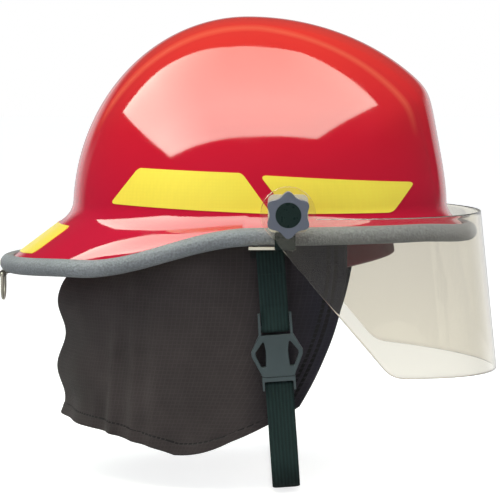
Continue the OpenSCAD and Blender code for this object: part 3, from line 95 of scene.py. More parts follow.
class Skin:
    """Collects grids of points, in millimetres, and turns them into one mesh."""

    def __init__(self):
        self.points, self.uv, self.faces, self.mats = [], [], [], []
        self.count = 0

    def grid(self, pts, wrap_rows=False, wrap_cols=False, flip=False, uv=None, mat=0):
        """Adds a grid of points; a wrapped one closes on itself. mat is a slot, or one for each face."""
        pts = np.asarray(pts, float)
        rows, cols = pts.shape[:2]
        index = self.count + np.arange(rows * cols).reshape(rows, cols)
        if wrap_rows:
            index = np.vstack([index, index[:1]])
        if wrap_cols:
            index = np.hstack([index, index[:, :1]])
        corners = [index[:-1, :-1], index[:-1, 1:], index[1:, 1:], index[1:, :-1]]
        quads = np.stack(corners, -1).reshape(-1, 4)
        if flip:
            quads = quads[:, ::-1]
        if uv is None:
            uv = np.zeros((rows, cols, 2))
        self.points.append(pts.reshape(-1, 3))
        self.uv.append(np.asarray(uv, float).reshape(-1, 2))
        self.faces += quads.tolist()
        self.mats += np.broadcast_to(mat, corners[0].shape).ravel().tolist()
        self.count += rows * cols

    def fan(self, ring, flip=False):
        """Closes a ring of points with a fan round their middle."""
        ring = np.asarray(ring, float)
        k = len(ring)
        self.points.append(np.vstack([ring, ring.mean(0)]))
        self.uv.append(np.zeros((k + 1, 2)))
        for i in range(k):
            tri = [self.count + i, self.count + (i + 1) % k, self.count + k]
            self.faces.append(tri[::-1] if flip else tri)
            self.mats.append(0)
        self.count += k + 1

    def mesh(self, name, sharp):
        """The mesh, in metres. Edges that turn by more than sharp (degrees) stay sharp."""
        m = bpy.data.meshes.new(name)
        m.from_pydata((np.vstack(self.points) * MM).tolist(), [], self.faces)
        m.polygons.foreach_set("material_index", self.mats)
        layer = m.uv_layers.new(name="UVMap")
        loops = np.zeros(len(m.loops), int)
        m.loops.foreach_get("vertex_index", loops)
        layer.data.foreach_set("uv", (np.vstack(self.uv) * MM)[loops].ravel())
        bm = bmesh.new()
        bm.from_mesh(m)
        bmesh.ops.remove_doubles(bm, verts=bm.verts, dist=WELD)
        bmesh.ops.dissolve_degenerate(bm, edges=bm.edges, dist=1e-7)
        bm.to_mesh(m)
        bm.free()
        m.shade_smooth()
        if sharp:
            m.set_sharp_from_angle(angle=sharp * RAD)
        return m


def shown(name, mesh):
    obj = bpy.data.objects.new(name, mesh)
    bpy.context.scene.collection.objects.link(obj)
    return obj


def piece(name, skin, sharp, body, mats, node):
    """A skin as a visible piece on one of the frame's bodies, in place of a CAD node."""
    obj = shown(name, skin.mesh(name, sharp))
    for m in mats:
        obj.data.materials.append(m)
    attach(obj, body)
    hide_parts(node)
    return obj


# Materials
def dress(tree, node, **values):
    """Names with a capital are inputs (_ for a space), which get a constant or a link."""
    for key, value in values.items():
        if key[0].islower():
            setattr(node, key, value)
        else:
            put(tree, value, node.inputs[key.replace("_", " ")])
    return node


def put(tree, value, socket):
    if isinstance(value, (int, float, tuple)):
        socket.default_value = value
    else:
        tree.links.new(value, socket)


def add(tree, kind, *inputs, **values):
    node = dress(tree, tree.nodes.new("ShaderNode" + kind), **values)
    for value, socket in zip(inputs, node.inputs):
        put(tree, value, socket)
    return node


def material(name, color, rough, **values):
    mat = bpy.data.materials.new(name)
    mat.use_nodes = True
    tree = mat.node_tree
    shader = dress(tree, tree.nodes["Principled BSDF"], Base_Color=color, Roughness=rough, **values)
    return mat, tree, shader


def coords(tree, output="Object", turn=0.0):
    """The piece's own coordinates or its UV, in metres, turned by some degrees."""
    place = add(tree, "TexCoord").outputs[output]
    return add(tree, "Mapping", Vector=place, Rotation=(0, 0, turn * RAD)).outputs["Vector"]


def axes(tree, vector):
    return list(add(tree, "SeparateXYZ", vector).outputs)


def noise(tree, vector, scale, detail=3.0, rough=0.5):
    n = add(tree, "TexNoise", Vector=vector, Scale=scale, Detail=detail, Roughness=rough)
    return n.outputs["Fac"]


def cells(tree, vector, scale, randomness=1.0):
    """Distance from the middle of the nearest cell."""
    v = add(tree, "TexVoronoi", Vector=vector, Scale=scale, Randomness=randomness)
    return v.outputs["Distance"]


def ramp(tree, value, stops):
    r = add(tree, "ValToRGB", value)
    while len(r.color_ramp.elements) < len(stops):
        r.color_ramp.elements.new(0.5)
    for element, (position, color) in zip(r.color_ramp.elements, stops):
        element.position = position
        element.color = color
    return r.outputs["Color"]


def between(tree, value, first, second, low=0.3, high=0.7):
    """From first to second while the value goes from low to high."""
    return ramp(tree, value, [(low, first), (high, second)])


def grey(v):
    return (v, v, v, 1)


def shade(color, k):
    return (color[0] * k, color[1] * k, color[2] * k, 1)


def span(tree, value, low, high, to_low=0.0, to_high=1.0):
    """From to_low to to_high while the value goes from low to high."""
    m = add(tree, "MapRange", value, low, high, to_low, to_high)
    return m.outputs["Result"]


def maths(tree, operation, *values):
    return add(tree, "Math", *values, operation=operation).outputs[0]


def times(tree, a, b):
    return maths(tree, "MULTIPLY", a, b)


def waves(tree, x, pitch):
    return maths(tree, "SINE", times(tree, x, FULL_TURN / pitch))


def ruled(tree, x, pitch):
    """1 on a narrow line each pitch along x, else 0."""
    part = maths(tree, "FRACT", times(tree, x, 1 / pitch))
    far = maths(tree, "ABSOLUTE", maths(tree, "SUBTRACT", part, 0.5))
    return maths(tree, "GREATER_THAN", far, 0.41)


def blend(tree, kind, a, b, factor=1.0):
    both = add(tree, "Mix", data_type="RGBA", blend_type=kind, Factor=factor, A=a, B=b)
    return both.outputs["Result"]


def bump(tree, shader, height, strength, distance, **before):
    b = add(tree, "Bump", Height=height, Strength=strength, Distance=distance, **before)
    dress(tree, shader, Normal=b.outputs["Normal"])
    return b.outputs["Normal"]


def mottled(name, color, rough, amount=0.12, scale=260, grain=0.15, depth=0.00008, **values):
    """A moulded or painted surface: slight colour variation, uneven gloss and a fine grain."""
    mat, tree, shader = material(name, color, rough, **values)
    at = coords(tree)
    broad = noise(tree, at, 38, detail=4)
    base = between(tree, broad, shade(color, 1 - amount), shade(color, 1 + amount))
    gloss = span(tree, noise(tree, at, scale), 0.3, 0.7, rough * 0.85, min(1, rough * 1.15))
    dress(tree, shader, Base_Color=base, Roughness=gloss)
    bump(tree, shader, noise(tree, at, scale * 6, detail=2), grain, depth)
    return mat


def woven(name, color, pitch_u, pitch_v, rough=0.85, ribs=0.0, rib_pitch=0.0016, depth=0.0003,
          grid_pitch=0.0, amount=0.16, sheen=0.3, turn=None):
    """Cloth whose weave follows the piece's UV, or a direction turned from x."""
    mat, tree, shader = material(name, color, rough, Specular_IOR_Level=0.2,
                                 Sheen_Weight=sheen, Sheen_Roughness=0.5)
    if turn is None:
        u, v, _ = axes(tree, coords(tree, "UV"))
    else:
        v, u, _ = axes(tree, coords(tree, "Object", -turn))
    weave = times(tree, waves(tree, u, pitch_u), waves(tree, v, pitch_v))
    height = maths(tree, "MULTIPLY_ADD", weave, 0.5, 0.5)
    if ribs:
        rib = times(tree, waves(tree, u, rib_pitch), ribs)
        height = maths(tree, "ADD", height, rib)
    if grid_pitch:
        lines = maths(tree, "MAXIMUM", ruled(tree, u, grid_pitch), ruled(tree, v, grid_pitch))
        height = maths(tree, "ADD", height, times(tree, lines, 0.8))
    broad = noise(tree, coords(tree), 24, detail=5, rough=0.6)
    base = between(tree, broad, shade(color, 1 - amount), shade(color, 1 + amount), high=0.72)
    threads = between(tree, height, grey(0.72), grey(1.12), 0.0, 1.0)
    dress(tree, shader, Base_Color=blend(tree, "MULTIPLY", base, threads))
    bump(tree, shader, height, 0.55, depth)
    return mat


def painted_shade_ahead(mat, start, end, tint):
    """Painted shade: multiplies a cloth's colour by a tint that comes in from start to end along x (m), for
    the shade under the brim at the front.
    """
    tree = mat.node_tree
    color = tree.nodes["Principled BSDF"].inputs["Base Color"]
    x = axes(tree, coords(tree))[0]
    painted_shade = between(tree, span(tree, x, start, end), grey(1.0), tint, 0.0, 1.0)
    put(tree, blend(tree, "MULTIPLY", color.links[0].from_socket, painted_shade), color)


def shell_material():
    """Glossy red with painted light: painted top light turns it a little to orange at the crown, and a
    painted highlight makes a lighter line on the band's edge.
    """
    color = srgb(196, 20, 56)
    mat, tree, shader = material("shell_red", color, 0.16, IOR=1.55)
    at = coords(tree)
    x, y, z = axes(tree, at)
    uneven = times(tree, maths(tree, "SUBTRACT", noise(tree, at, 9), 0.5), 0.25)
    # painted top light: the colour turns lighter and more orange with height, a little unevenly
    high = maths(tree, "ADD", span(tree, z, 0.02, 0.15), uneven)
    base = ramp(tree, high, [(0.0, color), (0.45, srgb(202, 24, 46)), (1.0, srgb(222, 56, 46))])
    # the painted highlight line runs outwards a little towards the front
    edge = maths(tree, "MULTIPLY_ADD", maths(tree, "MAXIMUM", x, 0.0), 0.13, 0.0365)
    off = maths(tree, "ABSOLUTE", maths(tree, "SUBTRACT", maths(tree, "ABSOLUTE", y), edge))
    line = times(tree, span(tree, off, 0.0048, 0.0), span(tree, z, 0.075, 0.1))
    with_painted_highlight = blend(tree, "MIX", base, srgb(238, 112, 84), times(tree, line, 0.5))
    gloss = span(tree, noise(tree, at, 60, detail=4), 0.3, 0.7, 0.05, 0.09)
    dress(tree, shader, Base_Color=with_painted_highlight, Roughness=gloss)
    bump(tree, shader, noise(tree, at, 160, detail=2), 0.03, 0.0002)
    return mat


def trim_material():
    """Grey rubber with a pebbled skin."""
    color = srgb(128, 131, 138)
    mat, tree, shader = material("trim_grey", color, 0.55, Specular_IOR_Level=0.35)
    at = coords(tree)
    fine = noise(tree, at, 700, rough=0.6)
    base = between(tree, noise(tree, at, 22), shade(color, 0.9), shade(color, 1.08))
    specks = between(tree, fine, grey(0.68), grey(1.22))
    gloss = span(tree, fine, 0.3, 0.7, 0.4, 0.7)
    dress(tree, shader, Base_Color=blend(tree, "MULTIPLY", base, specks), Roughness=gloss)
    pebbles = bump(tree, shader, cells(tree, at, 640), 0.7, 0.0006)
    bump(tree, shader, fine, 0.5, 0.0004, Normal=pebbles)
    return mat


def marking_material():
    """Yellow reflective sheet with a faint pattern of cells."""
    color = srgb(255, 233, 80)
    mat, tree, shader = material("marking_yellow", color, 0.32, Coat_Weight=0.2, Coat_Roughness=0.12)
    at = coords(tree)
    pattern = cells(tree, at, 420, randomness=0.1)
    base = between(tree, noise(tree, at, 14, detail=2), shade(color, 0.95), shade(color, 1.04))
    faint = between(tree, pattern, grey(1.0), grey(0.97), low=0.1)
    dress(tree, shader, Base_Color=blend(tree, "MULTIPLY", base, faint))
    bump(tree, shader, pattern, 0.05, 0.0001)
    return mat


def shield_material():
    color = srgb(243, 239, 230)
    mat, tree, shader = material("shield_clear", color, 0.03, Transmission_Weight=1.0, IOR=1.45)
    gloss = span(tree, noise(tree, coords(tree), 45, detail=4), 0.35, 0.75, 0.0, 0.035)
    dress(tree, shader, Roughness=gloss)
    return mat


def hanger_material():
    """Pale metal whose ears, below the brim's edge, are black."""
    pale, dark = srgb(214, 208, 196), srgb(27, 29, 30)
    mat, tree, shader = material("hanger_two_tone", pale, 0.35)
    at = coords(tree)
    z = axes(tree, at)[2]
    color = between(tree, span(tree, z, 0.0003, 0.0013), dark, pale, 0.0, 1.0)
    dress(tree, shader, Base_Color=color)
    bump(tree, shader, noise(tree, at, 900, detail=2), 0.1, 0.00004)
    return mat


SHELL = shell_material()
TRIM = trim_material()
MARK = marking_material()
SHIELD = shield_material()
FOAM = mottled("foam_dark", srgb(48, 49, 53), 0.85, amount=0.15, scale=300, grain=0.6, depth=0.0006,
               Specular_IOR_Level=0.2)
CAP = mottled("cap_black", srgb(30, 30, 33), 0.45, amount=0.1, scale=200, grain=0.2, depth=0.0001,
              Specular_IOR_Level=0.3)
BLACK = mottled("plastic_black_fine", srgb(31, 32, 34), 0.45, grain=0.3, depth=0.0001,
                Specular_IOR_Level=0.35)
KNOB = mottled("knob_slate", srgb(97, 101, 116), 0.42, amount=0.06, scale=300, grain=0.25,
               Specular_IOR_Level=0.4)
CAP_GREEN = mottled("cap_dark_green", srgb(25, 39, 38), 0.3, amount=0.08, scale=300, depth=0.00006,
                    Specular_IOR_Level=0.4)
BUCKLE = mottled("buckle_teal_grey", srgb(71, 81, 85), 0.38, amount=0.08, scale=300, grain=0.25, depth=0.0001,
                 Specular_IOR_Level=0.5)
BRACKET = mottled("bracket_cream", srgb(224, 218, 205), 0.35, amount=0.04, scale=240, grain=0.12,
                  depth=0.00006)
STEEL = mottled("steel_satin", srgb(205, 200, 190), 0.28, amount=0.06, scale=500, grain=0.1, depth=0.00004,
                Metallic=1.0)
WIRE = mottled("wire_pale", srgb(206, 198, 186), 0.3, amount=0.05, scale=500, grain=0.1, depth=0.00004,
               Metallic=0.35)
HANGER = hanger_material()
WEB = woven("webbing_green_black", srgb(30, 46, 46), 0.0011, 0.0016, 0.8, ribs=0.9, rib_pitch=0.0024,
            sheen=0.05)
CROWN_WEB = {}
for turn in (90, 34, -34):
    CROWN_WEB[turn] = woven(f"webbing_black_{turn % 360}", srgb(28, 28, 31), 0.0012, 0.0016, ribs=0.6,
                            rib_pitch=0.002, sheen=0.1, turn=turn)
CURTAIN = woven("curtain_cloth", srgb(66, 59, 60), 0.0008, 0.0008, 0.9, depth=0.00025, grid_pitch=0.0026,
                amount=0.24, sheen=0.05)
# painted shade: the curtain turns darker and bluer towards the front, where the brim shades it
painted_shade_ahead(CURTAIN, -0.012, 0.04, (0.42, 0.48, 0.68, 1))
THREAD = mottled("thread_black", srgb(26, 23, 26), 0.7, amount=0.1, scale=900, grain=0.3, depth=0.0001,
                 Specular_IOR_Level=0.2)
PAD = woven("pad_maroon", srgb(122, 40, 52), 0.0009, 0.0009, 0.92, depth=0.00025, sheen=0.4)
PAD_DARK = woven("pad_dark_cloth", srgb(38, 38, 41), 0.0009, 0.0009, 0.92, depth=0.00025, sheen=0.2)

# The shell's form, in millimetres. The dome's reach, half width and rise, and the middle of its foot
FRONT, REAR, SIDE, RISE, DOME_X, BASE = 142.5, 125.5, 113.0, 136.4, -8.0, 21.0
WALL = 3.0
# The crown band: its half width, soft edge, lower step, rise, reach and where it begins above the foot
BAND_HALF, BAND_FADE, BAND_STEP, BAND_RISE, BAND_FRONT, BAND_START = 31.5, 9.5, 1.4, 3.0, 165.0, 38.0
# The band's flat face at the front, its lean and how sharply it turns into the crown
FACE_REACH, FACE_LEAN, FACE_CORNER, FACE_UP_TO = 146.0, 10.5 * RAD, 60, 100 * RAD
# The brim: how much it arches at the sides, its rounded foot at the dome, and its rim
BRIM_ARCH, BRIM_ARCH_FRONT, ARCH_FROM, ARCH_FADE = 0.12, 0.03, 0.6, 0.3
FILLET, FILLET_SHARE, FILLET_RISE = 9.5, 0.7, 9.0
RIM_FRONT, RIM_REAR, RIM_HALF = 152.3, 181.8, 126.0
RIM_X, RIM_LONG = (RIM_FRONT - RIM_REAR) / 2, (RIM_FRONT + RIM_REAR) / 2
RIM_LOW, RIM_HIGH, RIM_WAVE_FROM, RIM_WAVE_LONG = -15.0, 9.0, -125, 120
FRONT_DIP, FRONT_DIP_FROM, FRONT_DIP_LONG = 3, 110, 45
REAR_DIP, REAR_DIP_FROM, REAR_DIP_LONG = 2, 130, 55
# The trim: its bead, how far it grips the brim, and its slot
BEAD_LONG, BEAD_HIGH, BEAD_GRIP = 12.6, 12.2, 4.8
BEAD_BACK = BEAD_LONG / 2 - BEAD_GRIP + 1
SLOT_GAP, SLOT_END, LIP_ROUND = 0.15, 0.4, 0.6
UP = np.array([0, 0, 1.0])


def dome_radius(psi, w=0.0):
    """The side view's radius at the angle psi up from the front, w inside the outer face."""
    a = np.where(np.cos(psi) > 0, FRONT, REAR) - w
    return 1 / np.sqrt((np.cos(psi) / a) ** 2 + (np.sin(psi) / (RISE - w)) ** 2)


def band_height(psi):
    """How far the crown band stands out of the dome."""
    body = dome_radius(psi)
    a = np.where(np.cos(psi) > 0, BAND_FRONT, REAR)
    oval = 1 / np.sqrt((np.cos(psi) / a) ** 2 + (np.sin(psi) / (RISE + BAND_RISE)) ** 2)
    face = FACE_REACH / np.maximum(0.02, np.cos(psi) + math.tan(FACE_LEAN) * np.sin(psi))
    cut = (oval ** -FACE_CORNER + face ** -FACE_CORNER) ** (-1 / FACE_CORNER)
    outer = np.where(psi < FACE_UP_TO, cut, oval)
    return smooth(body * np.sin(psi) / BAND_START) * np.maximum(0, outer - body)


def dome_at(tau, psi, w=0.0):
    """The dome and its band, by the angles tau to the side and psi up from the front."""
    y = (SIDE - w) * np.sin(tau)
    rise = band_height(psi)
    step = np.minimum(rise, BAND_STEP)
    wide = (rise - step) * (1 - (y / SIDE) ** 2)
    rho = dome_radius(psi, w) + (1 - smooth((np.abs(y) - BAND_HALF) / BAND_FADE)) * step + wide
    return np.stack([DOME_X + np.cos(tau) * rho * np.cos(psi), y, BASE + np.cos(tau) * rho * np.sin(psi)], -1)


def dome_polar(t, phi, w=0.0):
    """The dome by azimuth t and height angle phi."""
    tau = np.arcsin(np.clip(np.cos(phi) * np.sin(t), -1, 1))
    a = np.where(np.cos(t) > 0, FRONT, REAR) - w
    psi = np.arctan2((RISE - w) * np.sin(phi), a * np.cos(phi) * np.cos(t))
    return dome_at(tau, np.clip(psi, 1e-6, math.pi - 1e-6), w)


def ring_point(t, w=0.0):
    """The foot of the dome."""
    a = np.where(np.cos(t) > 0, FRONT, REAR) - w
    return np.stack([DOME_X + a * np.cos(t), (SIDE - w) * np.sin(t), BASE + 0 * t], -1)


def rim_height(x):
    """The brim's edge is low at the rear and dips a little at both ends."""
    wave = mix(RIM_LOW, RIM_HIGH, smooth((x - RIM_WAVE_FROM) / RIM_WAVE_LONG))
    front = FRONT_DIP * smooth((x - FRONT_DIP_FROM) / FRONT_DIP_LONG)
    rear = REAR_DIP * smooth((-x - REAR_DIP_FROM) / REAR_DIP_LONG)
    return wave - front - rear


def rim_point(t):
    """The brim's edge at the azimuth t."""
    x = RIM_X + RIM_LONG * np.cos(t)
    return np.stack([x, RIM_HALF * np.sin(t), rim_height(x)], -1)


def rim_frame(t):
    """Directions down the brim and up from it, and the slope."""
    out = unit(np.stack([np.cos(t) / RIM_LONG, np.sin(t) / RIM_HALF, 0 * t], -1))
    run = ring_point(t) - rim_point(t)
    slope = np.arctan2(run[..., 2], np.hypot(run[..., 0], run[..., 1]))[..., None]
    return out * np.cos(slope) - UP * np.sin(slope), out * np.sin(slope) + UP * np.cos(slope), slope


def brim_rows(t, w, straight, bend):
    """Points from the shell's edge up to the foot of the dome, as rows of the whole ring."""
    _, up, slope = rim_frame(t)
    edge = rim_point(t) + up * (WALL / 2 - w)
    q = ring_point(t, w) - UP * (w * (1 - np.sin(slope)) / np.cos(slope))
    run = q - edge
    long = np.linalg.norm(run, axis=-1, keepdims=True)
    end = 1 - np.minimum(FILLET, long * FILLET_SHARE) / long

    aside = smooth((np.abs(np.sin(t)) - ARCH_FROM) / ARCH_FADE)
    arch = (aside * np.where(np.cos(t) > 0, BRIM_ARCH_FRONT, BRIM_ARCH))[..., None]

    def arched(s):
        # 27/4 brings the highest value of s (1 - s) (1 - s) to 1
        return edge + run * s + up * long * (arch * (27 / 4) * s * (1 - s) ** 2)
    start = arched(end)
    top = dome_polar(t, np.arcsin(FILLET_RISE / RISE) + 0 * t, w)
    rows = [arched(end * s) for s in np.linspace(0, 1, straight, endpoint=False)]
    rows += [start * (1 - s) ** 2 + q * 2 * s * (1 - s) + top * s * s for s in np.linspace(0, 1, bend)]
    return rows


def shell_rows(w, steps, straight, bend, arches):
    """The outer face of the shell (w 0) or a face w inside it, row by row from the edge to the crown."""
    t = np.linspace(0, FULL_TURN, steps, endpoint=False)
    rows = brim_rows(t, w, straight, bend)
    foot = math.asin(FILLET_RISE / RISE)
    for phi in np.linspace(foot, math.pi / 2 - 0.004, arches)[1:]:
        rows.append(dome_polar(t, phi + 0 * t, w))
    return np.array(rows)


def make_shell():
    skin = Skin()
    outer = shell_rows(0.0, 480, 16, 14, 170)
    inner = shell_rows(WALL, 480, 8, 6, 60)
    skin.grid(outer, wrap_cols=True)
    skin.fan(outer[-1])
    skin.grid(inner, wrap_cols=True, flip=True)
    skin.fan(inner[-1], flip=True)
    skin.grid(np.array([inner[0], outer[0]]), wrap_cols=True)
    return piece("shell", skin, 50, "helmet", [SHELL], "outer_shell")


shell = make_shell()
shell_tree = BVHTree.FromObject(shell, bpy.context.evaluated_depsgraph_get())


def on_shell(points, direction, lift):
    """Points in mm dropped onto the shell along a direction, then lifted off it."""
    out = np.array(points, float)
    flat = out.reshape(-1, 3)
    for i, p in enumerate(flat):
        hit, normal, _, _ = shell_tree.ray_cast(Vector(p * MM), Vector(direction))
        if hit is not None:
            n = np.array(normal)
            if n @ np.array(direction) > 0:
                n = -n
            flat[i] = np.array(hit) / MM + n * lift
    return out


def make_trim():
    """The bead round the brim's edge, with a slot that grips the brim."""
    t = np.linspace(0, FULL_TURN, 420, endpoint=False)
    down, up, _ = rim_frame(t)
    base = rim_point(t)
    slot = WALL / 2 + SLOT_GAP
    lip = math.asin(slot / (BEAD_HIGH / 2))
    angles = np.linspace(math.pi - lip, -math.pi + lip, 44)
    prof = [(-BEAD_BACK + BEAD_LONG / 2 * math.cos(a), BEAD_HIGH / 2 * math.sin(a)) for a in angles]
    mouth = -BEAD_BACK - BEAD_LONG / 2 * math.cos(lip) + LIP_ROUND
    prof += [(mouth, -slot), (SLOT_END, -slot), (SLOT_END, slot), (mouth, slot)]
    rings = np.array([base + down * x + up * y for x, y in prof])
    skin = Skin()
    skin.grid(rings, wrap_rows=True, wrap_cols=True, flip=True)
    return piece("trim", skin, 50, "helmet", [TRIM], "edge_trim")


make_trim()

# Markings, laid on the shell. Corners as (rear x, front x) of the lower and the upper edge,
# then their heights at the same ends
SIDE_MARKINGS = {
    "rear": ((-103, 8), (-83, -12), (30.5, 25.5), (55.7, 53.2)),
    "front": ((20, 92), (0, 108), (25.5, 24.7), (51.8, 45.0)),
}
MARK_LIFT, MARK_SUNK, MARK_CORNER = 0.42, 0.25, 3.2
# The rear brim marking: half its angle, where it starts and ends, and its corners as shares
REAR_MARK_HALF, REAR_MARK_FROM, REAR_MARK_TO = 24 * RAD, 14.0, 13.0
REAR_CORNER_V, REAR_CORNER_U = 0.14, 0.045
WELL_OUTSIDE, WELL_ABOVE = 200, 30.0


def rounded_limits(v, left, right, corner_v, corner_u):
    """The ends of a row at height v (0 to 1) of a shape with rounded corners."""
    d = np.minimum(v, 1 - v)
    part = np.clip((corner_v - d) / corner_v, 0, 1)
    cut = corner_u * (1 - np.sqrt(np.maximum(0, 1 - part ** 2)))
    return left + cut, right - cut


def marking(name, points, direction, flip, node):
    """A thin sheet dropped onto the shell, with its edge sunk into it."""
    face = on_shell(points, direction, MARK_LIFT)
    under = on_shell(points, direction, -MARK_SUNK)
    skin = Skin()
    skin.grid(face, flip=flip)
    skin.grid(np.array([border(face), border(under)]), wrap_cols=True, flip=flip)
    return piece(name, skin, 40, "helmet", [MARK], node)


def side_marking(place, word, side):
    low, top, z_low, z_top = SIDE_MARKINGS[place]
    height = max(z_top) - min(z_low)
    pts = []
    for v in 0.5 - 0.5 * np.cos(np.linspace(0, math.pi, 26)):
        lo, hi = rounded_limits(v, 0.0, 1.0, MARK_CORNER / height, MARK_CORNER / (low[1] - low[0]))
        u = np.linspace(lo, hi, 90)
        x = mix(mix(low[0], low[1], u), mix(top[0], top[1], u), v)
        z = mix(mix(z_low[0], z_low[1], u), mix(z_top[0], z_top[1], u), v)
        pts.append(np.stack([x, 0 * u + side * WELL_OUTSIDE, z], -1))
    return marking(f"{place}_marking_{word}", pts, (0, -side, 0), side > 0, f"marking_{place}_{word}")


for side, word in ((-1, "right"), (1, "left")):
    side_marking("rear", word, side)
    side_marking("front", word, side)


def brim_marking():
    """The marking round the back of the brim, which runs up onto the dome."""
    pts = []
    for v in np.linspace(0, 1, 14):
        lo, hi = rounded_limits(v, -1.0, 1.0, REAR_CORNER_V, REAR_CORNER_U)
        t = math.pi + REAR_MARK_HALF * np.linspace(lo, hi, 90)
        down, up, _ = rim_frame(t)
        edge = rim_point(t) + up * (WALL / 2)
        q = ring_point(t)
        long = np.linalg.norm(q - edge, axis=-1, keepdims=True)
        near = edge - down * REAR_MARK_FROM
        far = edge + (q - edge) * (1 - REAR_MARK_TO / long)
        pts.append(mix(near, far, v) + UP * WELL_ABOVE)
    return marking("rear_brim_marking", pts, (0, 0, -1), True, "marking_brim")


brim_marking()

# The face shield, in the frame of its lean about the pivots
PIVOT_X, PIVOT_Z, LEAN = 19.0, 27.0, 6
SHIELD_R, SHIELD_THICK, EAR_R = 137.5, 1.5, 18.5
EDGE_ANGLE, HEM_SLOPE, SHIELD_DEEP, CORNER_R = 56 * RAD, 0.172, 133.0, 20.0
TOP_EAR, TOP_FRONT = 3.0, 19.5
EAR_ENDS, EDGE_BLUNT, EDGE_ROUND = 0.985, 0.1, 0.8


def shield_limits(x):
    """Lower and upper edge of the shield's side view at a distance x ahead of the pivots."""
    ear = np.sqrt(np.maximum(0, EAR_R ** 2 - x ** 2))
    cos, sin = math.cos(EDGE_ANGLE), math.sin(EDGE_ANGLE)
    start = (-EAR_R * sin, -EAR_R * cos)
    run = (-start[1] - SHIELD_DEEP + HEM_SLOPE * (SHIELD_R - start[0])) / (HEM_SLOPE * cos - sin)
    low = (start[0] + run * cos, start[1] - run * sin)
    cut = CORNER_R * math.tan((EDGE_ANGLE - math.atan(HEM_SLOPE)) / 2)
    centre = (low[0] - cos * cut + CORNER_R * sin, low[1] + sin * cut + CORNER_R * cos)
    edge = start[1] - (x - start[0]) * math.tan(EDGE_ANGLE)
    hem = -SHIELD_DEEP - HEM_SLOPE * (x - SHIELD_R)
    turn = centre[1] - np.sqrt(np.maximum(0, CORNER_R ** 2 - (x - centre[0]) ** 2))
    end = low[0] + cut / math.hypot(1, HEM_SLOPE)
    bottom = np.where(x < low[0] - cos * cut, edge, np.where(x < end, turn, hem))
    bottom = np.where(x < start[0], -ear, bottom)
    top = mix(-TOP_EAR, -TOP_FRONT, x / SHIELD_R)
    return bottom, np.where(x < EAR_R * EAR_ENDS, ear, top)


def shield_columns():
    """Distance ahead and share across for each column, from one ear round the front to the other."""
    back = -EAR_R * np.cos(np.linspace(0, math.pi / 2, 26, endpoint=False))
    # columns close together where the ear ends
    shares = np.array([0.9, 0.95, 0.97, EAR_ENDS - 0.001, EAR_ENDS + 0.001, 1.0])
    ear_turn = np.arcsin(EAR_R * shares / SHIELD_R)
    ahead = np.unique(np.concatenate([np.linspace(0, math.pi / 2, 150), ear_turn]))
    x = np.concatenate([back, SHIELD_R * np.sin(ahead)])
    across = np.concatenate([np.ones_like(back), np.cos(ahead)])
    return np.concatenate([x, x[-2::-1]]), np.concatenate([-across, across[-2::-1]])


def shield_rows(bottom, top):
    """Heights of the rows, each with its distance from the edge for the rounding there."""
    near = np.array([0.0, 0.06, 0.2, 0.45, EDGE_ROUND])
    rows = [(bottom + np.minimum(d, (top - bottom) / 2), d) for d in near]
    rows += [(mix(bottom + near[-1], top - near[-1], v), near[-1]) for v in np.linspace(0, 1, 60)[1:-1]]
    rows += [(top - np.minimum(d, (top - bottom) / 2), d) for d in near[::-1]]
    return rows


def make_shield():
    x, across = shield_columns()
    out_x = np.where(np.abs(across) < 1, x / SHIELD_R, 0)
    cos, sin = turned(LEAN)
    faces = []
    for side in (1, -1):
        grid = []
        for z, d in shield_rows(*shield_limits(x)):
            half = SHIELD_THICK / 2 * math.sqrt(min(1, EDGE_BLUNT + d * (2 * EDGE_ROUND - d)))
            r = SHIELD_THICK / 2 + side * half
            px = x + out_x * r
            py = across * (SHIELD_R + r)
            grid.append(np.stack([PIVOT_X + px * cos - z * sin, py, PIVOT_Z + px * sin + z * cos], -1))
        faces.append(np.array(grid))
    outer, inner = faces
    skin = Skin()
    skin.grid(outer)
    skin.grid(inner, flip=True)
    skin.grid(np.array([border(inner), border(outer)]), wrap_cols=True)
    obj = piece("visor", skin, 60, "shield", [SHIELD], "face_shield")
    obj.visible_shadow = False


make_shield()


# Liner and cap
def cup(name, w_out, w_in, low_z, mat, node, edge):
    """A dome between the depths w_out and w_in inside the shell, open below, with rounded edges."""
    t = np.linspace(0, FULL_TURN, 160, endpoint=False)
    crown = 89.6 * RAD

    def ring(w, phi):
        a = np.where(np.cos(t) > 0, FRONT, REAR) - w
        x = DOME_X + a * math.cos(phi) * np.cos(t)
        y = (SIDE - w) * math.cos(phi) * np.sin(t)
        return np.stack([x, y, BASE + (RISE - w) * math.sin(phi) + 0 * t], -1)

    def angle(w, z):
        return math.asin((z - BASE) / (RISE - w))
    rows = [ring(w_out, phi) for phi in np.linspace(crown, angle(w_out, low_z + edge), 50)]
    rows.append(ring(w_out + edge * 0.3, angle(w_out, low_z + edge * 0.3)))
    rows.append(ring(w_out + edge, angle(w_out, low_z)))
    rows.append(ring(w_in - edge, angle(w_in, low_z)))
    rows.append(ring(w_in - edge * 0.3, angle(w_in, low_z + edge * 0.3)))
    rows += [ring(w_in, phi) for phi in np.linspace(angle(w_in, low_z + edge), crown, 50)]
    skin = Skin()
    skin.grid(np.array(rows), wrap_cols=True, flip=True)
    skin.fan(rows[0])
    skin.fan(rows[-1], flip=True)
    return piece(name, skin, 50, "helmet", [mat], node)


cup("liner", 3.9, 19.9, 13.0, FOAM, "impact_liner", edge=1.5)
cup("cap_inside", 20.3, 22.3, 14.5, CAP, "inner_cap", edge=0.5)

# Neck curtain, an oval about CX that reaches further ahead than behind
CX, CFRONT = -20.0, 170.0
CURTAIN_TOP, FLAT_LONG = 11.0, 430.0
TOP_HALF, LOW_HALF, TOP_REAR, LOW_REAR = 107.4, 102.0, 127.0, 144.0
LOW_FROM, LOW_FADE = 1.5, 34
# The hem sags towards HEM_TURN of the way to the front edges, then rises
HEM_REAR, HEM_SAG, HEM_RISE, HEM_TURN = -125, 17, 34, 0.73
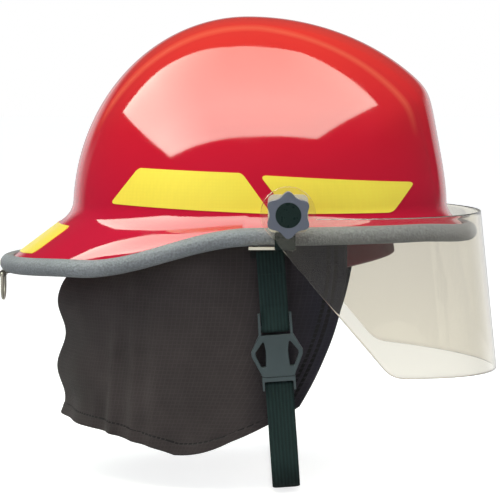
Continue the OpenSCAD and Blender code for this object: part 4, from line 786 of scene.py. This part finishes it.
# The front edges: how far forward each starts, and how they draw back further down
RIGHT_EDGE_X, LEFT_EDGE_X, EDGE_DRAW = 60.6, 71.6, 0.00282
# A level fold round the back, one each FOLD_PITCH, and upright folds that deepen downwards
FOLD_DEEP, FOLD_AT, FOLD_PITCH, FOLD_ENDS = 3.0, -43, 47, 0.7
PLEAT_DEEP, PLEATS, CURTAIN_HIGH = 2.0, 7, 150
# The cloth's thickness, its middle's place, its doubled hem and edges, and their seams
CLOTH_THICK, CLOTH_IN, DOUBLED = 1.9, 1.25, 0.8
HEM_FOLD, EDGE_FOLD, FOLD_SOFT = 9.5, 7.5, 0.8
HEM_SEAM, EDGE_SEAM, SECOND_SEAM, SEAM_WIDE, SEAM_DEEP = 8.4, 6.2, 9.4, 0.7, 1.1
STITCH_PITCH, STITCH_GAP = 3.4, 0.7


def low_part(z):
    return smooth((LOW_FROM - z) / LOW_FADE)


def hem_z(a):
    """The hem's height at the share a (0 to 1) from the back to a front edge."""
    sag = HEM_SAG * np.minimum(1, a / HEM_TURN) ** 2.5
    return HEM_REAR - sag + HEM_RISE * np.maximum(0, (a - HEM_TURN) / (1 - HEM_TURN)) ** 2.4


def edge_angle(z, a):
    """Angle of the front edges. The left one (a below 0) hangs a little further forward."""
    start = np.where(a > 0, RIGHT_EDGE_X, LEFT_EDGE_X)
    return np.arccos((start - EDGE_DRAW * z * z - CX) / CFRONT)


def fold_out(a, z):
    """How far the folds stand out."""
    ends = np.cos(math.pi / 2 * np.minimum(1, np.abs(a) / FOLD_ENDS)) ** 2
    level = low_part(z) * FOLD_DEEP * np.cos(FULL_TURN * (z - FOLD_AT) / FOLD_PITCH) * ends
    down = (np.maximum(0, CURTAIN_TOP - z) / CURTAIN_HIGH) ** 1.5
    return level + PLEAT_DEEP * np.cos(PLEATS * math.pi * a) * down


def curtain_at(a, z, grow=0.0):
    """The curtain at the share a (-1 to 1) of its length and the height z."""
    angle = math.pi - a * (math.pi - edge_angle(z, a))
    g = fold_out(a, z) + grow
    half = mix(TOP_HALF, LOW_HALF, low_part(z)) + g
    rear = mix(TOP_REAR, LOW_REAR, low_part(z)) + CX
    long = np.where(np.cos(angle) > 0, CFRONT, rear) + g
    return np.stack([CX + long * np.cos(angle), -half * np.sin(angle), z], -1)


def simulate(obj, frames, **values):
    """Runs a short cloth simulation on an object, with its pin group held, and returns its points in mm."""
    cloth = obj.modifiers.new("cloth", "CLOTH")
    for key, value in values.items():
        setattr(cloth.settings, key, value)
    cloth.settings.quality = 4
    cloth.settings.vertex_group_mass = "pin"
    cloth.collision_settings.use_collision = False
    cloth.point_cache.frame_start, cloth.point_cache.frame_end = 1, frames
    for frame_now in range(1, frames + 1):
        bpy.context.scene.frame_set(frame_now)
    done = obj.evaluated_get(bpy.context.evaluated_depsgraph_get())
    out = np.array([tuple(v.co) for v in done.data.vertices]) / MM
    obj.modifiers.remove(cloth)
    bpy.context.scene.frame_set(1)
    return out


def pin(obj, weights):
    group = obj.vertex_groups.new(name="pin")
    for i, weight in enumerate(weights):
        if weight > 0.001:
            group.add([i], float(weight), "REPLACE")


def softened(grid, times):
    """A grid of values, each averaged with its neighbours a number of times."""
    for _ in range(times):
        grid = (grid + np.roll(grid, 1, 0) + np.roll(grid, -1, 0)) / 3
        grid[0], grid[-1] = grid[1], grid[-2]
        grid[:, 1:-1] = (grid[:, 1:-1] + grid[:, 2:] + grid[:, :-2]) / 3
    return grid


def hung_folds(cols, rows, most=2.1):
    """How far the cloth swings out (mm) when it hangs from its top edge, on a grid of cols by rows."""
    a, v = np.meshgrid(np.linspace(-1, 1, 170), np.linspace(0, 1, 60))
    start = curtain_at(a, mix(CURTAIN_TOP, hem_z(np.abs(a)), v))
    skin = Skin()
    skin.grid(start)
    obj = shown("hanging", skin.mesh("hanging", sharp=0))
    mesh = obj.data
    pin(obj, (v < 0.04).ravel())
    end = simulate(obj, 26, mass=0.3, tension_stiffness=12, bending_stiffness=0.4, shrink_min=-0.035)
    bpy.data.objects.remove(obj)
    bpy.data.meshes.remove(mesh)
    out = unit((start - [CX, 0, 0]) * [1, 1, 0])
    swing = ((end.reshape(start.shape) - start) * out).sum(-1)
    swing = most * np.tanh(swing / most)
    swing = np.array([np.interp(np.linspace(-1, 1, cols), a[0], row) for row in swing])
    swing = np.array([np.interp(np.linspace(0, 1, rows), v[:, 0], col) for col in swing.T]).T
    return softened(swing, 8)


def wrinkles(a, v, count=14):
    """Small random waves, less than 1 in all."""
    wrinkle = np.zeros_like(a)
    for _ in range(count):
        fa, fz = rng.uniform(-26, 26), rng.uniform(-9, 9)
        wrinkle += np.sin(fa * a + fz * v * 3 + rng.uniform(0, 6.3)) * rng.uniform(0.3, 1.0) / count
    return wrinkle


def cloth_thickness(from_hem, from_edge):
    """Thicker where hem and edges are doubled, drawn in at the seams, rounded at the borders."""
    hem = smooth((HEM_FOLD - from_hem) / FOLD_SOFT)
    edge = smooth((EDGE_FOLD - from_edge) / FOLD_SOFT)
    seam = np.exp(-((from_hem - HEM_SEAM) / SEAM_WIDE) ** 2)
    seam = seam + np.exp(-((from_edge - EDGE_SEAM) / SEAM_WIDE) ** 2)
    thick = CLOTH_THICK + DOUBLED * np.maximum(hem, edge) - SEAM_DEEP * np.minimum(1, seam)
    return thick * np.sqrt(np.clip(np.minimum(from_hem, from_edge), 0.02, 1))


def stitches(from_hem, from_edge, along, z):
    """1 for the faces that are thread: one row of stitches above the hem, two along each front edge."""
    hem_row = (np.abs(from_hem - HEM_SEAM) < 0.5) & (from_edge > 6)
    off = np.minimum(np.abs(from_edge - EDGE_SEAM), np.abs(from_edge - SECOND_SEAM))
    edge_rows = (off < 0.6) & (from_hem > 8)
    gaps = np.where(hem_row, along, z) % STITCH_PITCH < STITCH_GAP
    return ((hem_row | edge_rows) & ~gaps).astype(int)


def make_curtain():
    cols, rows = 520, 260
    a, v = np.meshgrid(np.linspace(-1, 1, cols), np.linspace(0, 1, rows))
    z = mix(CURTAIN_TOP, hem_z(np.abs(a)), v)
    from_hem = z - hem_z(np.abs(a))
    from_edge = (1 - np.abs(a)) * FLAT_LONG / 2
    grow = wrinkles(a, v) * 0.8 * smooth(v * 3) + hung_folds(cols, rows) * smooth(v * 4)
    thick = cloth_thickness(from_hem, from_edge)
    outer = curtain_at(a, z, grow - CLOTH_IN + thick / 2)
    inner = curtain_at(a, z, grow - CLOTH_IN - thick / 2)
    uv = np.stack([a * FLAT_LONG / 2, z], -1)
    along = np.abs(a) * FLAT_LONG / 2
    mat = stitches(*(part[:-1, :-1] for part in (from_hem, from_edge, along, z)))
    skin = Skin()
    skin.grid(outer, flip=True, uv=uv, mat=mat)
    skin.grid(inner, uv=uv, mat=mat)
    skin.grid(np.array([border(outer), border(inner)]), wrap_cols=True, flip=True, uv=[border(uv)] * 2)
    obj = piece("curtain", skin, 60, "helmet", [CURTAIN, THREAD], "neck_curtain")


make_curtain()

# Straps of webbing, in a frame that leans back about the pivots
STRAP_X, STRAP_Z, STRAP_LEAN = 6.5, 9.0, 4
STRAP_OUT, WEB_WIDE, WEB_THICK = 111.0, 19.0, 1.4
# The bars that the upper straps fold round, and a layer's distance from the middle there and further on
TOP_BAR, BUCKLE_BAR, SLIDER_BAR = 10.2, 61.8, 76.8
BAR_R, PINCH, BAR_FADE = 2.0, 0.82, 10
# How far below the top bar the two tails end, and where and how far the outer layer steps in
TOP_TAIL, LOW_TAIL, STEPS_IN = 18.0, 19.5, ((24.3, 0.7), (46.2, 0.5))
# The loop under the chin: its bar in the plug, its lowest face, its bends and its two sides
PLUG_BAR, LOOP_LOW, LOOP_R, LOOP_RIGHT, LOOP_LEFT = 100.7, 174.0, 22.0, 113.0, 114.7
LOOP_TAIL, LOOP_FADE, LOOP_SETTLE, SLIDER_END = 24, 9, 20, 52


def strap_at(x, y, down):
    """The strap frame: x forwards across the webbing, y in the helmet's y, down along the strap."""
    x, y, down = np.broadcast_arrays(np.asarray(x, float), y, down)
    cos, sin = turned(STRAP_LEAN)
    return np.stack([STRAP_X + x * cos + down * sin, y, STRAP_Z + x * sin - down * cos], -1)


def ribbon(skin, path, across=11):
    """Webbing along a path of (y, down) points, with rounded selvedges."""
    path = np.asarray(path, float)
    step = np.diff(path, axis=0)
    along = np.concatenate([[0], np.cumsum(np.hypot(*step.T))])
    tangent = np.gradient(path, axis=0)
    tangent /= np.maximum(np.linalg.norm(tangent, axis=1, keepdims=True), 1e-9)
    normal = np.stack([-tangent[:, 1], tangent[:, 0]], 1)
    x = np.linspace(-1, 1, across)
    x = np.sign(x) * np.abs(x) ** 0.75
    rise = np.sqrt(np.clip((1 - np.abs(x) ** 6), 0.0, 1))
    prof = [(xi * WEB_WIDE / 2, ri * WEB_THICK / 2) for xi, ri in zip(x, rise)]
    prof += [(px, -h) for px, h in prof[::-1][1:-1]]
    rings, uvs = [], []
    for px, h in prof:
        p = path + normal * h
        rings.append(strap_at(px, p[:, 0], p[:, 1]))
        uvs.append(np.stack([px + 0 * along, along], -1))
    rings = np.array(rings)
    skin.grid(rings, wrap_rows=True, uv=uvs)
    skin.fan(rings[:, 0])
    skin.fan(rings[:, -1], flip=True)


def arc(y, down, r, start, end, count=14):
    """Points round a bar, from one angle to another in degrees."""
    a = np.linspace(start, end, count) * RAD
    return [(y + r * math.cos(x), down + r * math.sin(x)) for x in a]


def straight(y, start, end, count, off):
    """Points down a straight run, off(down) away from y."""
    return [(y + off(d), d) for d in mix(start, end, np.linspace(0, 1, count))]


def near_bar(d, bar, fade=BAR_FADE):
    """Distance of a layer from the strap's middle: round the bar, then pinched together."""
    return mix(PINCH, BAR_R, smooth(1 - abs(d - bar) / fade))


def loop_path(y, low):
    """A folded strap round a bar at its top and one at its bottom, in (y, down)."""
    # the first point is there twice, which closes the webbing's end
    pts = [(y + PINCH, TOP_BAR + TOP_TAIL)]
    pts += straight(y, TOP_BAR + TOP_TAIL, TOP_BAR, 26, lambda d: near_bar(d, TOP_BAR))
    pts += arc(y, TOP_BAR, BAR_R, 0, -180)[1:]
    pts += straight(y, TOP_BAR, low, 130, lambda d: -max(near_bar(d, TOP_BAR), near_bar(d, low)))[1:]
    pts += arc(y, low, BAR_R, 180, 0)[1:]
    pts += straight(y, low, TOP_BAR + LOW_TAIL, 26, lambda d: near_bar(d, low))[1:]
    return pts


def doubled(path, y, side):
    """The strap's outer layer lies over two folded ends, so it steps in twice on its way down."""
    out = []
    for py, d in path:
        step = sum(high * smooth((end - d) / 0.9) for end, high in STEPS_IN)
        outer = smooth((side * (py - y) - 0.4) / 0.4)
        out.append((py + side * step * outer * smooth((d - TOP_BAR) / 6), d))
    return out


def upper_strap(word, side, low):
    y = side * STRAP_OUT
    skin = Skin()
    ribbon(skin, doubled(loop_path(y, low), y, side))
    piece("strap_" + word, skin, 50, "chin_strap", [WEB], "strap_upper_" + word)


def chin_loop():
    """From its tail behind the plug's bar, down on the right, under the chin and up to the slider."""
    half = WEB_THICK / 2
    bend = LOOP_R - half
    turn = LOOP_LOW - LOOP_R

    def settled(d):
        loose = smooth((d - PLUG_BAR - LOOP_SETTLE) / LOOP_SETTLE)
        return -mix(near_bar(d, PLUG_BAR, LOOP_FADE), LOOP_RIGHT - STRAP_OUT, loose)
    pts = straight(-STRAP_OUT, PLUG_BAR + LOOP_TAIL, PLUG_BAR, 20, lambda d: near_bar(d, PLUG_BAR, LOOP_FADE))
    pts += arc(-STRAP_OUT, PLUG_BAR, BAR_R, 0, -180)[1:]
    pts += straight(-STRAP_OUT, PLUG_BAR, turn, 40, settled)[1:]
    pts += arc(-LOOP_RIGHT + bend, turn, bend, 180, 90, 20)[1:]
    level = mix(-LOOP_RIGHT + bend, LOOP_LEFT - bend, np.linspace(0, 1, 30))
    pts += [(y, LOOP_LOW - half) for y in level[1:]]
    pts += arc(LOOP_LEFT - bend, turn, bend, 90, 0, 20)[1:]
    pts += straight(LOOP_LEFT, turn, SLIDER_END, 40, lambda d: 0)[1:]
    skin = Skin()
    ribbon(skin, pts)
    piece("chin_webbing", skin, 50, "chin_loop", [WEB], "chin_loop")


upper_strap("right", -1, BUCKLE_BAR)
upper_strap("left", 1, SLIDER_BAR)
chin_loop()

# Pads on the headband, in its own frame that leans back
HX, HZ, HHALF, HLONG, HEAD_LEAN = -16.0, -23.0, 81.6, 113.0, 10
BAND_WALL, BAND_GAP, BAND_HIGH, PAD_THICK = 1.6, 0.3, 32.0, 6
BROW_TURN, NAPE_LOW, NAPE_TALL = 12.0, -1.0, 34.0
PAD_MEAN_R = 95


def head_at(a, out, up):
    """The headband's own frame: angle a round it, out from its outer face, up from its lower edge."""
    long = np.where(np.cos(a) > 0, HLONG, HHALF)
    n = unit(np.stack([np.cos(a) / long, np.sin(a) / HHALF], -1))
    x = HX + long * np.cos(a) + n[..., 0] * out
    y = HHALF * np.sin(a) + n[..., 1] * out
    cos, sin = turned(HEAD_LEAN)
    return np.stack([x * cos - up * sin, y, HZ + x * sin + up * cos], -1)


def swell(obj, most=1.3):
    """Lets the cushion swell off the headband by a short cloth simulation, by at most some mm."""
    start = np.array([tuple(v.co) for v in obj.data.vertices]) / MM
    cos, sin = turned(HEAD_LEAN)
    x = start[:, 0] * cos + (start[:, 2] - HZ) * sin
    long = np.where(x > HX, HLONG, HHALF)
    share = np.hypot((x - HX) / long, start[:, 1] / HHALF)
    free = smooth((-2.1 - (share - 1) * (long + HHALF) / 2) / 2.0)
    pin(obj, 1 - free)
    end = simulate(obj, 20, mass=0.2, use_pressure=True, uniform_pressure_force=4, tension_stiffness=10,
                   bending_stiffness=0.3)
    move = end - start
    size = np.linalg.norm(move, axis=1, keepdims=True)
    start += move * np.minimum(1, most / np.maximum(size, 1e-9)) * free[:, None]
    obj.data.vertices.foreach_set("co", (start * MM).ravel())
    obj.vertex_groups.clear()
    obj.data.update()


def closed_smooth(points, steps):
    """A closed Catmull-Rom curve through the points, with a number of steps between two of them."""
    p = np.array(points, float)
    k = len(p)
    out = []
    for i in range(k):
        p0, p1, p2, p3 = p[i - 1], p[i], p[(i + 1) % k], p[(i + 2) % k]
        for s in np.linspace(0, 1, steps, endpoint=False):
            out.append(0.5 * (2 * p1 + (p2 - p0) * s + (2 * p0 - 5 * p1 + 4 * p2 - p3) * s * s
                              + (3 * p1 - p0 - 3 * p2 + p3) * s ** 3))
    return out


def brow_section(thick):
    """A cushion inside the band, whose cloth turns outwards under the band's lower edge."""
    inner, outer, low, high = -BAND_WALL - BAND_GAP, BAND_GAP, -BAND_GAP, BAND_HIGH
    cushion = [(inner - thick * 0.5, high + 0.6), (inner - thick * 0.97, high * 0.78),
               (inner - thick, high * 0.5), (inner - thick * 0.97, high * 0.2),
               (inner - thick * 0.6, low - 0.9)]
    under = [(inner, low - 2.6), (outer, low - 2.2), (outer + 1.4, low - 0.5),
             (outer + 1.45, BROW_TURN * 0.5), (outer + 1.3, BROW_TURN - 0.4)]
    back = [(outer + 0.1, BROW_TURN - 0.3), (outer + 0.05, 2), (outer - 0.3, low - 0.3),
            (inner + 0.3, low - 0.3), (inner - 0.05, 2), (inner - 0.05, high * 0.5), (inner, high + 0.6)]
    return closed_smooth(cushion + under + back, 5)


def nape_section(thick):
    """A cushion inside the band."""
    inner, low, tall = -BAND_WALL - BAND_GAP, NAPE_LOW, NAPE_TALL
    return closed_smooth([
        (inner - thick * 0.4, low + 0.3), (inner - thick * 0.95, low + tall * 0.22),
        (inner - thick, low + tall * 0.5), (inner - thick * 0.95, low + tall * 0.78),
        (inner - thick * 0.4, low + tall - 0.3), (inner - 0.05, low + tall - 0.2),
        (inner - 0.05, low + tall * 0.5), (inner - 0.05, low + 0.2)], 8)


def pad(name, section, first, last, tufts, mat, node):
    """A cushion round the headband from one angle to another in degrees, thin at both ends."""
    angles = np.linspace(first, last, last - first + 1) * RAD
    rings = []
    for a, s in zip(angles, np.linspace(0, 1, len(angles))):
        ends = max(0.02, 1 - abs(2 * s - 1) ** 6) ** 0.5
        dent = tufts * math.cos(14 * math.pi * s) ** 8
        points = np.array(section(PAD_THICK * ends * (1 - dent)))
        rings.append(head_at(np.full(len(points), a), points[:, 0], points[:, 1]))
    rings = np.array(rings)
    steps = np.linalg.norm(np.diff(rings[len(rings) // 2], axis=0), axis=1)
    uv = np.stack(np.meshgrid(np.concatenate([[0], np.cumsum(steps)]), angles * PAD_MEAN_R), -1)
    skin = Skin()
    skin.grid(rings, wrap_cols=True, uv=uv)
    skin.fan(rings[0], flip=True)
    skin.fan(rings[-1])
    obj = piece(name, skin, 70, "helmet", [mat], node)
    swell(obj)


pad("brow_cushion", brow_section, -70, 70, 0.08, PAD, "brow_pad")
pad("nape_cushion", nape_section, 150, 210, 0.0, PAD_DARK, "nape_pad")


# CAD pieces that stay, with finer edges
def finish(mat, bevel, *names):
    """Gives CAD pieces their material and, where it isn't 0, a bevel in mm."""
    for name in names:
        obj = nodes[name]
        for slot in obj.material_slots:
            slot.material = mat
        if bevel:
            weld = obj.modifiers.new("weld", "WELD")
            weld.merge_threshold = WELD
            bev = obj.modifiers.new("bevel", "BEVEL")
            bev.width = bevel * MM
            bev.segments = 2
            bev.limit_method = "ANGLE"
            bev.angle_limit = 40 * RAD
            bev.harden_normals = True


finish(BUCKLE, 0.5, "buckle_socket")
finish(BUCKLE, 0.4, "buckle_plug", "strap_slider")
finish(BUCKLE, 0.3, "prong_front", "prong_rear")
finish(KNOB, 1.2, "shield_knob_right", "shield_knob_left")
finish(CAP_GREEN, 0.5, "knob_cap_right", "knob_cap_left")
# painted shade: the dark sleeves on the brackets' necks stand where the shade below the knobs falls
finish(CAP_GREEN, 0.3, "bracket_sleeves")
finish(BRACKET, 0.3, "shield_bracket_right", "shield_bracket_left")
finish(BLACK, 0.8, "ratchet_knob")
finish(BLACK, 0.5, "ratchet_cover", "suspension_keys")
finish(BLACK, 0.4, "headband")
finish(BLACK, 0, "bracket_screws", "strap_rivets", "inner_washers", "outer_washers", "curtain_strip",
       "band_tail_right", "band_tail_left", "ratchet_housing", "ratchet_pinion")
finish(STEEL, 0, "shield_stud_right", "shield_stud_left", "ring_bracket", "ring_rivets")
finish(HANGER, 0, "strap_hanger_right", "strap_hanger_left")
finish(WIRE, 0, "hang_ring")
finish(CROWN_WEB[90], 0, "crown_strap_cross")
finish(CROWN_WEB[-34], 0, "crown_strap_diagonal_right")
finish(CROWN_WEB[34], 0, "crown_strap_diagonal_left")

# Camera, stage and light
# The floor: its colour, its glow, the share that shows through the shield, and its place below the part
FLOOR_GREY, FLOOR_GLOW, FLOOR_THROUGH, FLOOR_BELOW = (0.55, 0.55, 0.55, 1), 0.79, 0.7, 0.0015
FLOOR_EDGE = [(-8, -6), (8, -6), (8, 10), (-8, 10)]
ELEVATION, DISTANCE, TARGET = 4.2, 2.0, Vector((-0.0065, 0, -0.0072))
# The softbox above: its height, tint, brightness far off, in the middle and near, and its outline
BOX_Z, BOX_TINT, BOX_FAR, BOX_MIDDLE, BOX_NEAR = 1.2, (0.88, 1.0, 0.86, 1), 3.8, 8.2, 12.0
BOX_EDGE = [(-1.96, -1.54), (0.02, -1.48), (0.96, -1.35), (1.18, -0.1), (0.63, 0.11), (0.31, 0.26),
            (0.09, 0.26), (-0.17, 0.28), (-0.54, 0.46), (-0.92, 0.65), (-1.85, 0.97)]
WHITE = (1, 1, 1, 1)


def make_camera():
    cos, sin = turned(ELEVATION)
    look, up, right = Vector((0, cos, -sin)), Vector((0, sin, cos)), Vector((1, 0, 0))
    cam = shown("camera", bpy.data.cameras.new("camera"))
    cam.data.lens, cam.data.sensor_width = 200.0, 36.0
    cam.data.clip_start, cam.data.clip_end = 0.05, 100
    turn = Matrix((right, up, -look)).transposed().to_4x4()
    cam.matrix_world = Matrix.Translation(TARGET - look * DISTANCE) @ turn
    bpy.context.scene.camera = cam


def either(tree, factor, first, second):
    """The first shader where the factor is 0, the second where it is 1."""
    return add(tree, "MixShader", factor, first, second).outputs[0]


def seen_directly(tree, path, through=1.0):
    """1 for the camera, through for what it sees past the shield, 0 for light that falls on a surface."""
    behind = times(tree, path.outputs["Is Transmission Ray"], through)
    seen = maths(tree, "MAXIMUM", path.outputs["Is Camera Ray"], behind)
    first = maths(tree, "LESS_THAN", path.outputs["Diffuse Depth"], 0.5)
    return times(tree, seen, first)


def floor_material():
    mat, tree, shader = material("floor_pale", FLOOR_GREY, 0.7)
    path = add(tree, "LightPath")
    strength = times(tree, seen_directly(tree, path, FLOOR_THROUGH), FLOOR_GLOW)
    glow = add(tree, "Emission", WHITE, strength).outputs[0]
    both = add(tree, "AddShader", shader.outputs[0], glow).outputs[0]
    mat.cycles.emission_sampling = "NONE"
    # from below the floor is clear, so the underside can be looked at
    side = add(tree, "NewGeometry").outputs["Backfacing"]
    clear = add(tree, "BsdfTransparent").outputs[0]
    dress(tree, tree.nodes["Material Output"], Surface=either(tree, side, both, clear))
    return mat


def softbox_material():
    """A faint glow, bright in reflections: dimmer in the far middle, brighter at the near left."""
    mat, tree, _ = material("softbox_glow", (0, 0, 0, 1), 1)
    glossy = add(tree, "LightPath").outputs["Is Glossy Ray"]
    x, y, _ = axes(tree, coords(tree))
    middle = span(tree, maths(tree, "ABSOLUTE", x), 1.1, 0.2)
    far = times(tree, span(tree, y, -0.7, 0.35), middle)
    near = times(tree, span(tree, x, -0.6, -1.6), span(tree, y, 0.4, -0.8))
    dimmer = maths(tree, "MULTIPLY_ADD", far, BOX_FAR - BOX_MIDDLE, BOX_MIDDLE)
    bright = maths(tree, "MULTIPLY_ADD", near, BOX_NEAR - BOX_MIDDLE, dimmer)
    strength = maths(tree, "MULTIPLY_ADD", maths(tree, "SUBTRACT", bright, 1.0), glossy, 1.0)
    glow = add(tree, "Emission", BOX_TINT, strength).outputs[0]
    dress(tree, tree.nodes["Material Output"], Surface=glow)
    mat.cycles.emission_sampling = "NONE"
    return mat


def stage_plane(name, outline, z, mat):
    m = bpy.data.meshes.new(name)
    m.from_pydata([(x, y, z) for x, y in outline], [], [range(len(outline))])
    m.materials.append(mat)
    obj = shown(name, m)
    return obj


def make_world():
    """White to the camera, soft blue-white light, and for reflections a white backdrop low behind."""
    world = bpy.data.worlds.new("studio")
    bpy.context.scene.world = world
    world.use_nodes = True
    tree = world.node_tree
    tree.nodes.clear()
    path = add(tree, "LightPath")
    x, y, z = axes(tree, add(tree, "TexCoord").outputs["Generated"])
    back = span(tree, y, 0.64, 0.86)
    low = span(tree, z, 0.3, 0.15)
    aside = span(tree, maths(tree, "ABSOLUTE", x), 0.12, 0.3, 0.4, 1.0)
    white = times(tree, times(tree, back, low), aside)
    backdrop = maths(tree, "MULTIPLY_ADD", white, 0.85, 0.09)
    glossy = add(tree, "Background", WHITE, backdrop).outputs[0]
    soft = add(tree, "Background", (0.88, 0.94, 1, 1), 0.44).outputs[0]
    seen = add(tree, "Background", WHITE, 1.0).outputs[0]
    lit = either(tree, path.outputs["Is Glossy Ray"], soft, glossy)
    add(tree, "OutputWorld", Surface=either(tree, seen_directly(tree, path), lit, seen))


def lamp(name, energy, size, place, aim, color):
    """A round lamp in watts and metres, which isn't seen in reflections."""
    data = bpy.data.lights.new(name, "AREA")
    data.energy, data.shape, data.size, data.color = energy, "DISK", size, color
    obj = shown(name, data)
    obj.location = place
    obj.rotation_mode = "QUATERNION"
    obj.rotation_quaternion = (Vector(aim) - Vector(place)).to_track_quat("-Z", "Y")
    obj.visible_glossy = False


make_camera()
floor = stage_plane("floor", FLOOR_EDGE, cad_box[0].z - FLOOR_BELOW, floor_material())
floor.visible_glossy = False
box = stage_plane("softbox", BOX_EDGE, BOX_Z, softbox_material())
box.visible_camera = False
box.visible_shadow = False
make_world()
lamp("key", 19, 1.2, (-0.5, -0.7, 1.7), (0, 0, 0), (1, 0.89, 0.74))
lamp("fill", 6, 1.4, (-1.0, -1.6, 0.35), (0, 0, 0), (0.88, 0.93, 1))
lamp("side", 7, 1.0, (1.5, -0.5, 1.3), (0, 0, 0.05), (0.95, 0.92, 1))

bpy.context.scene.view_settings.view_transform = "Standard"
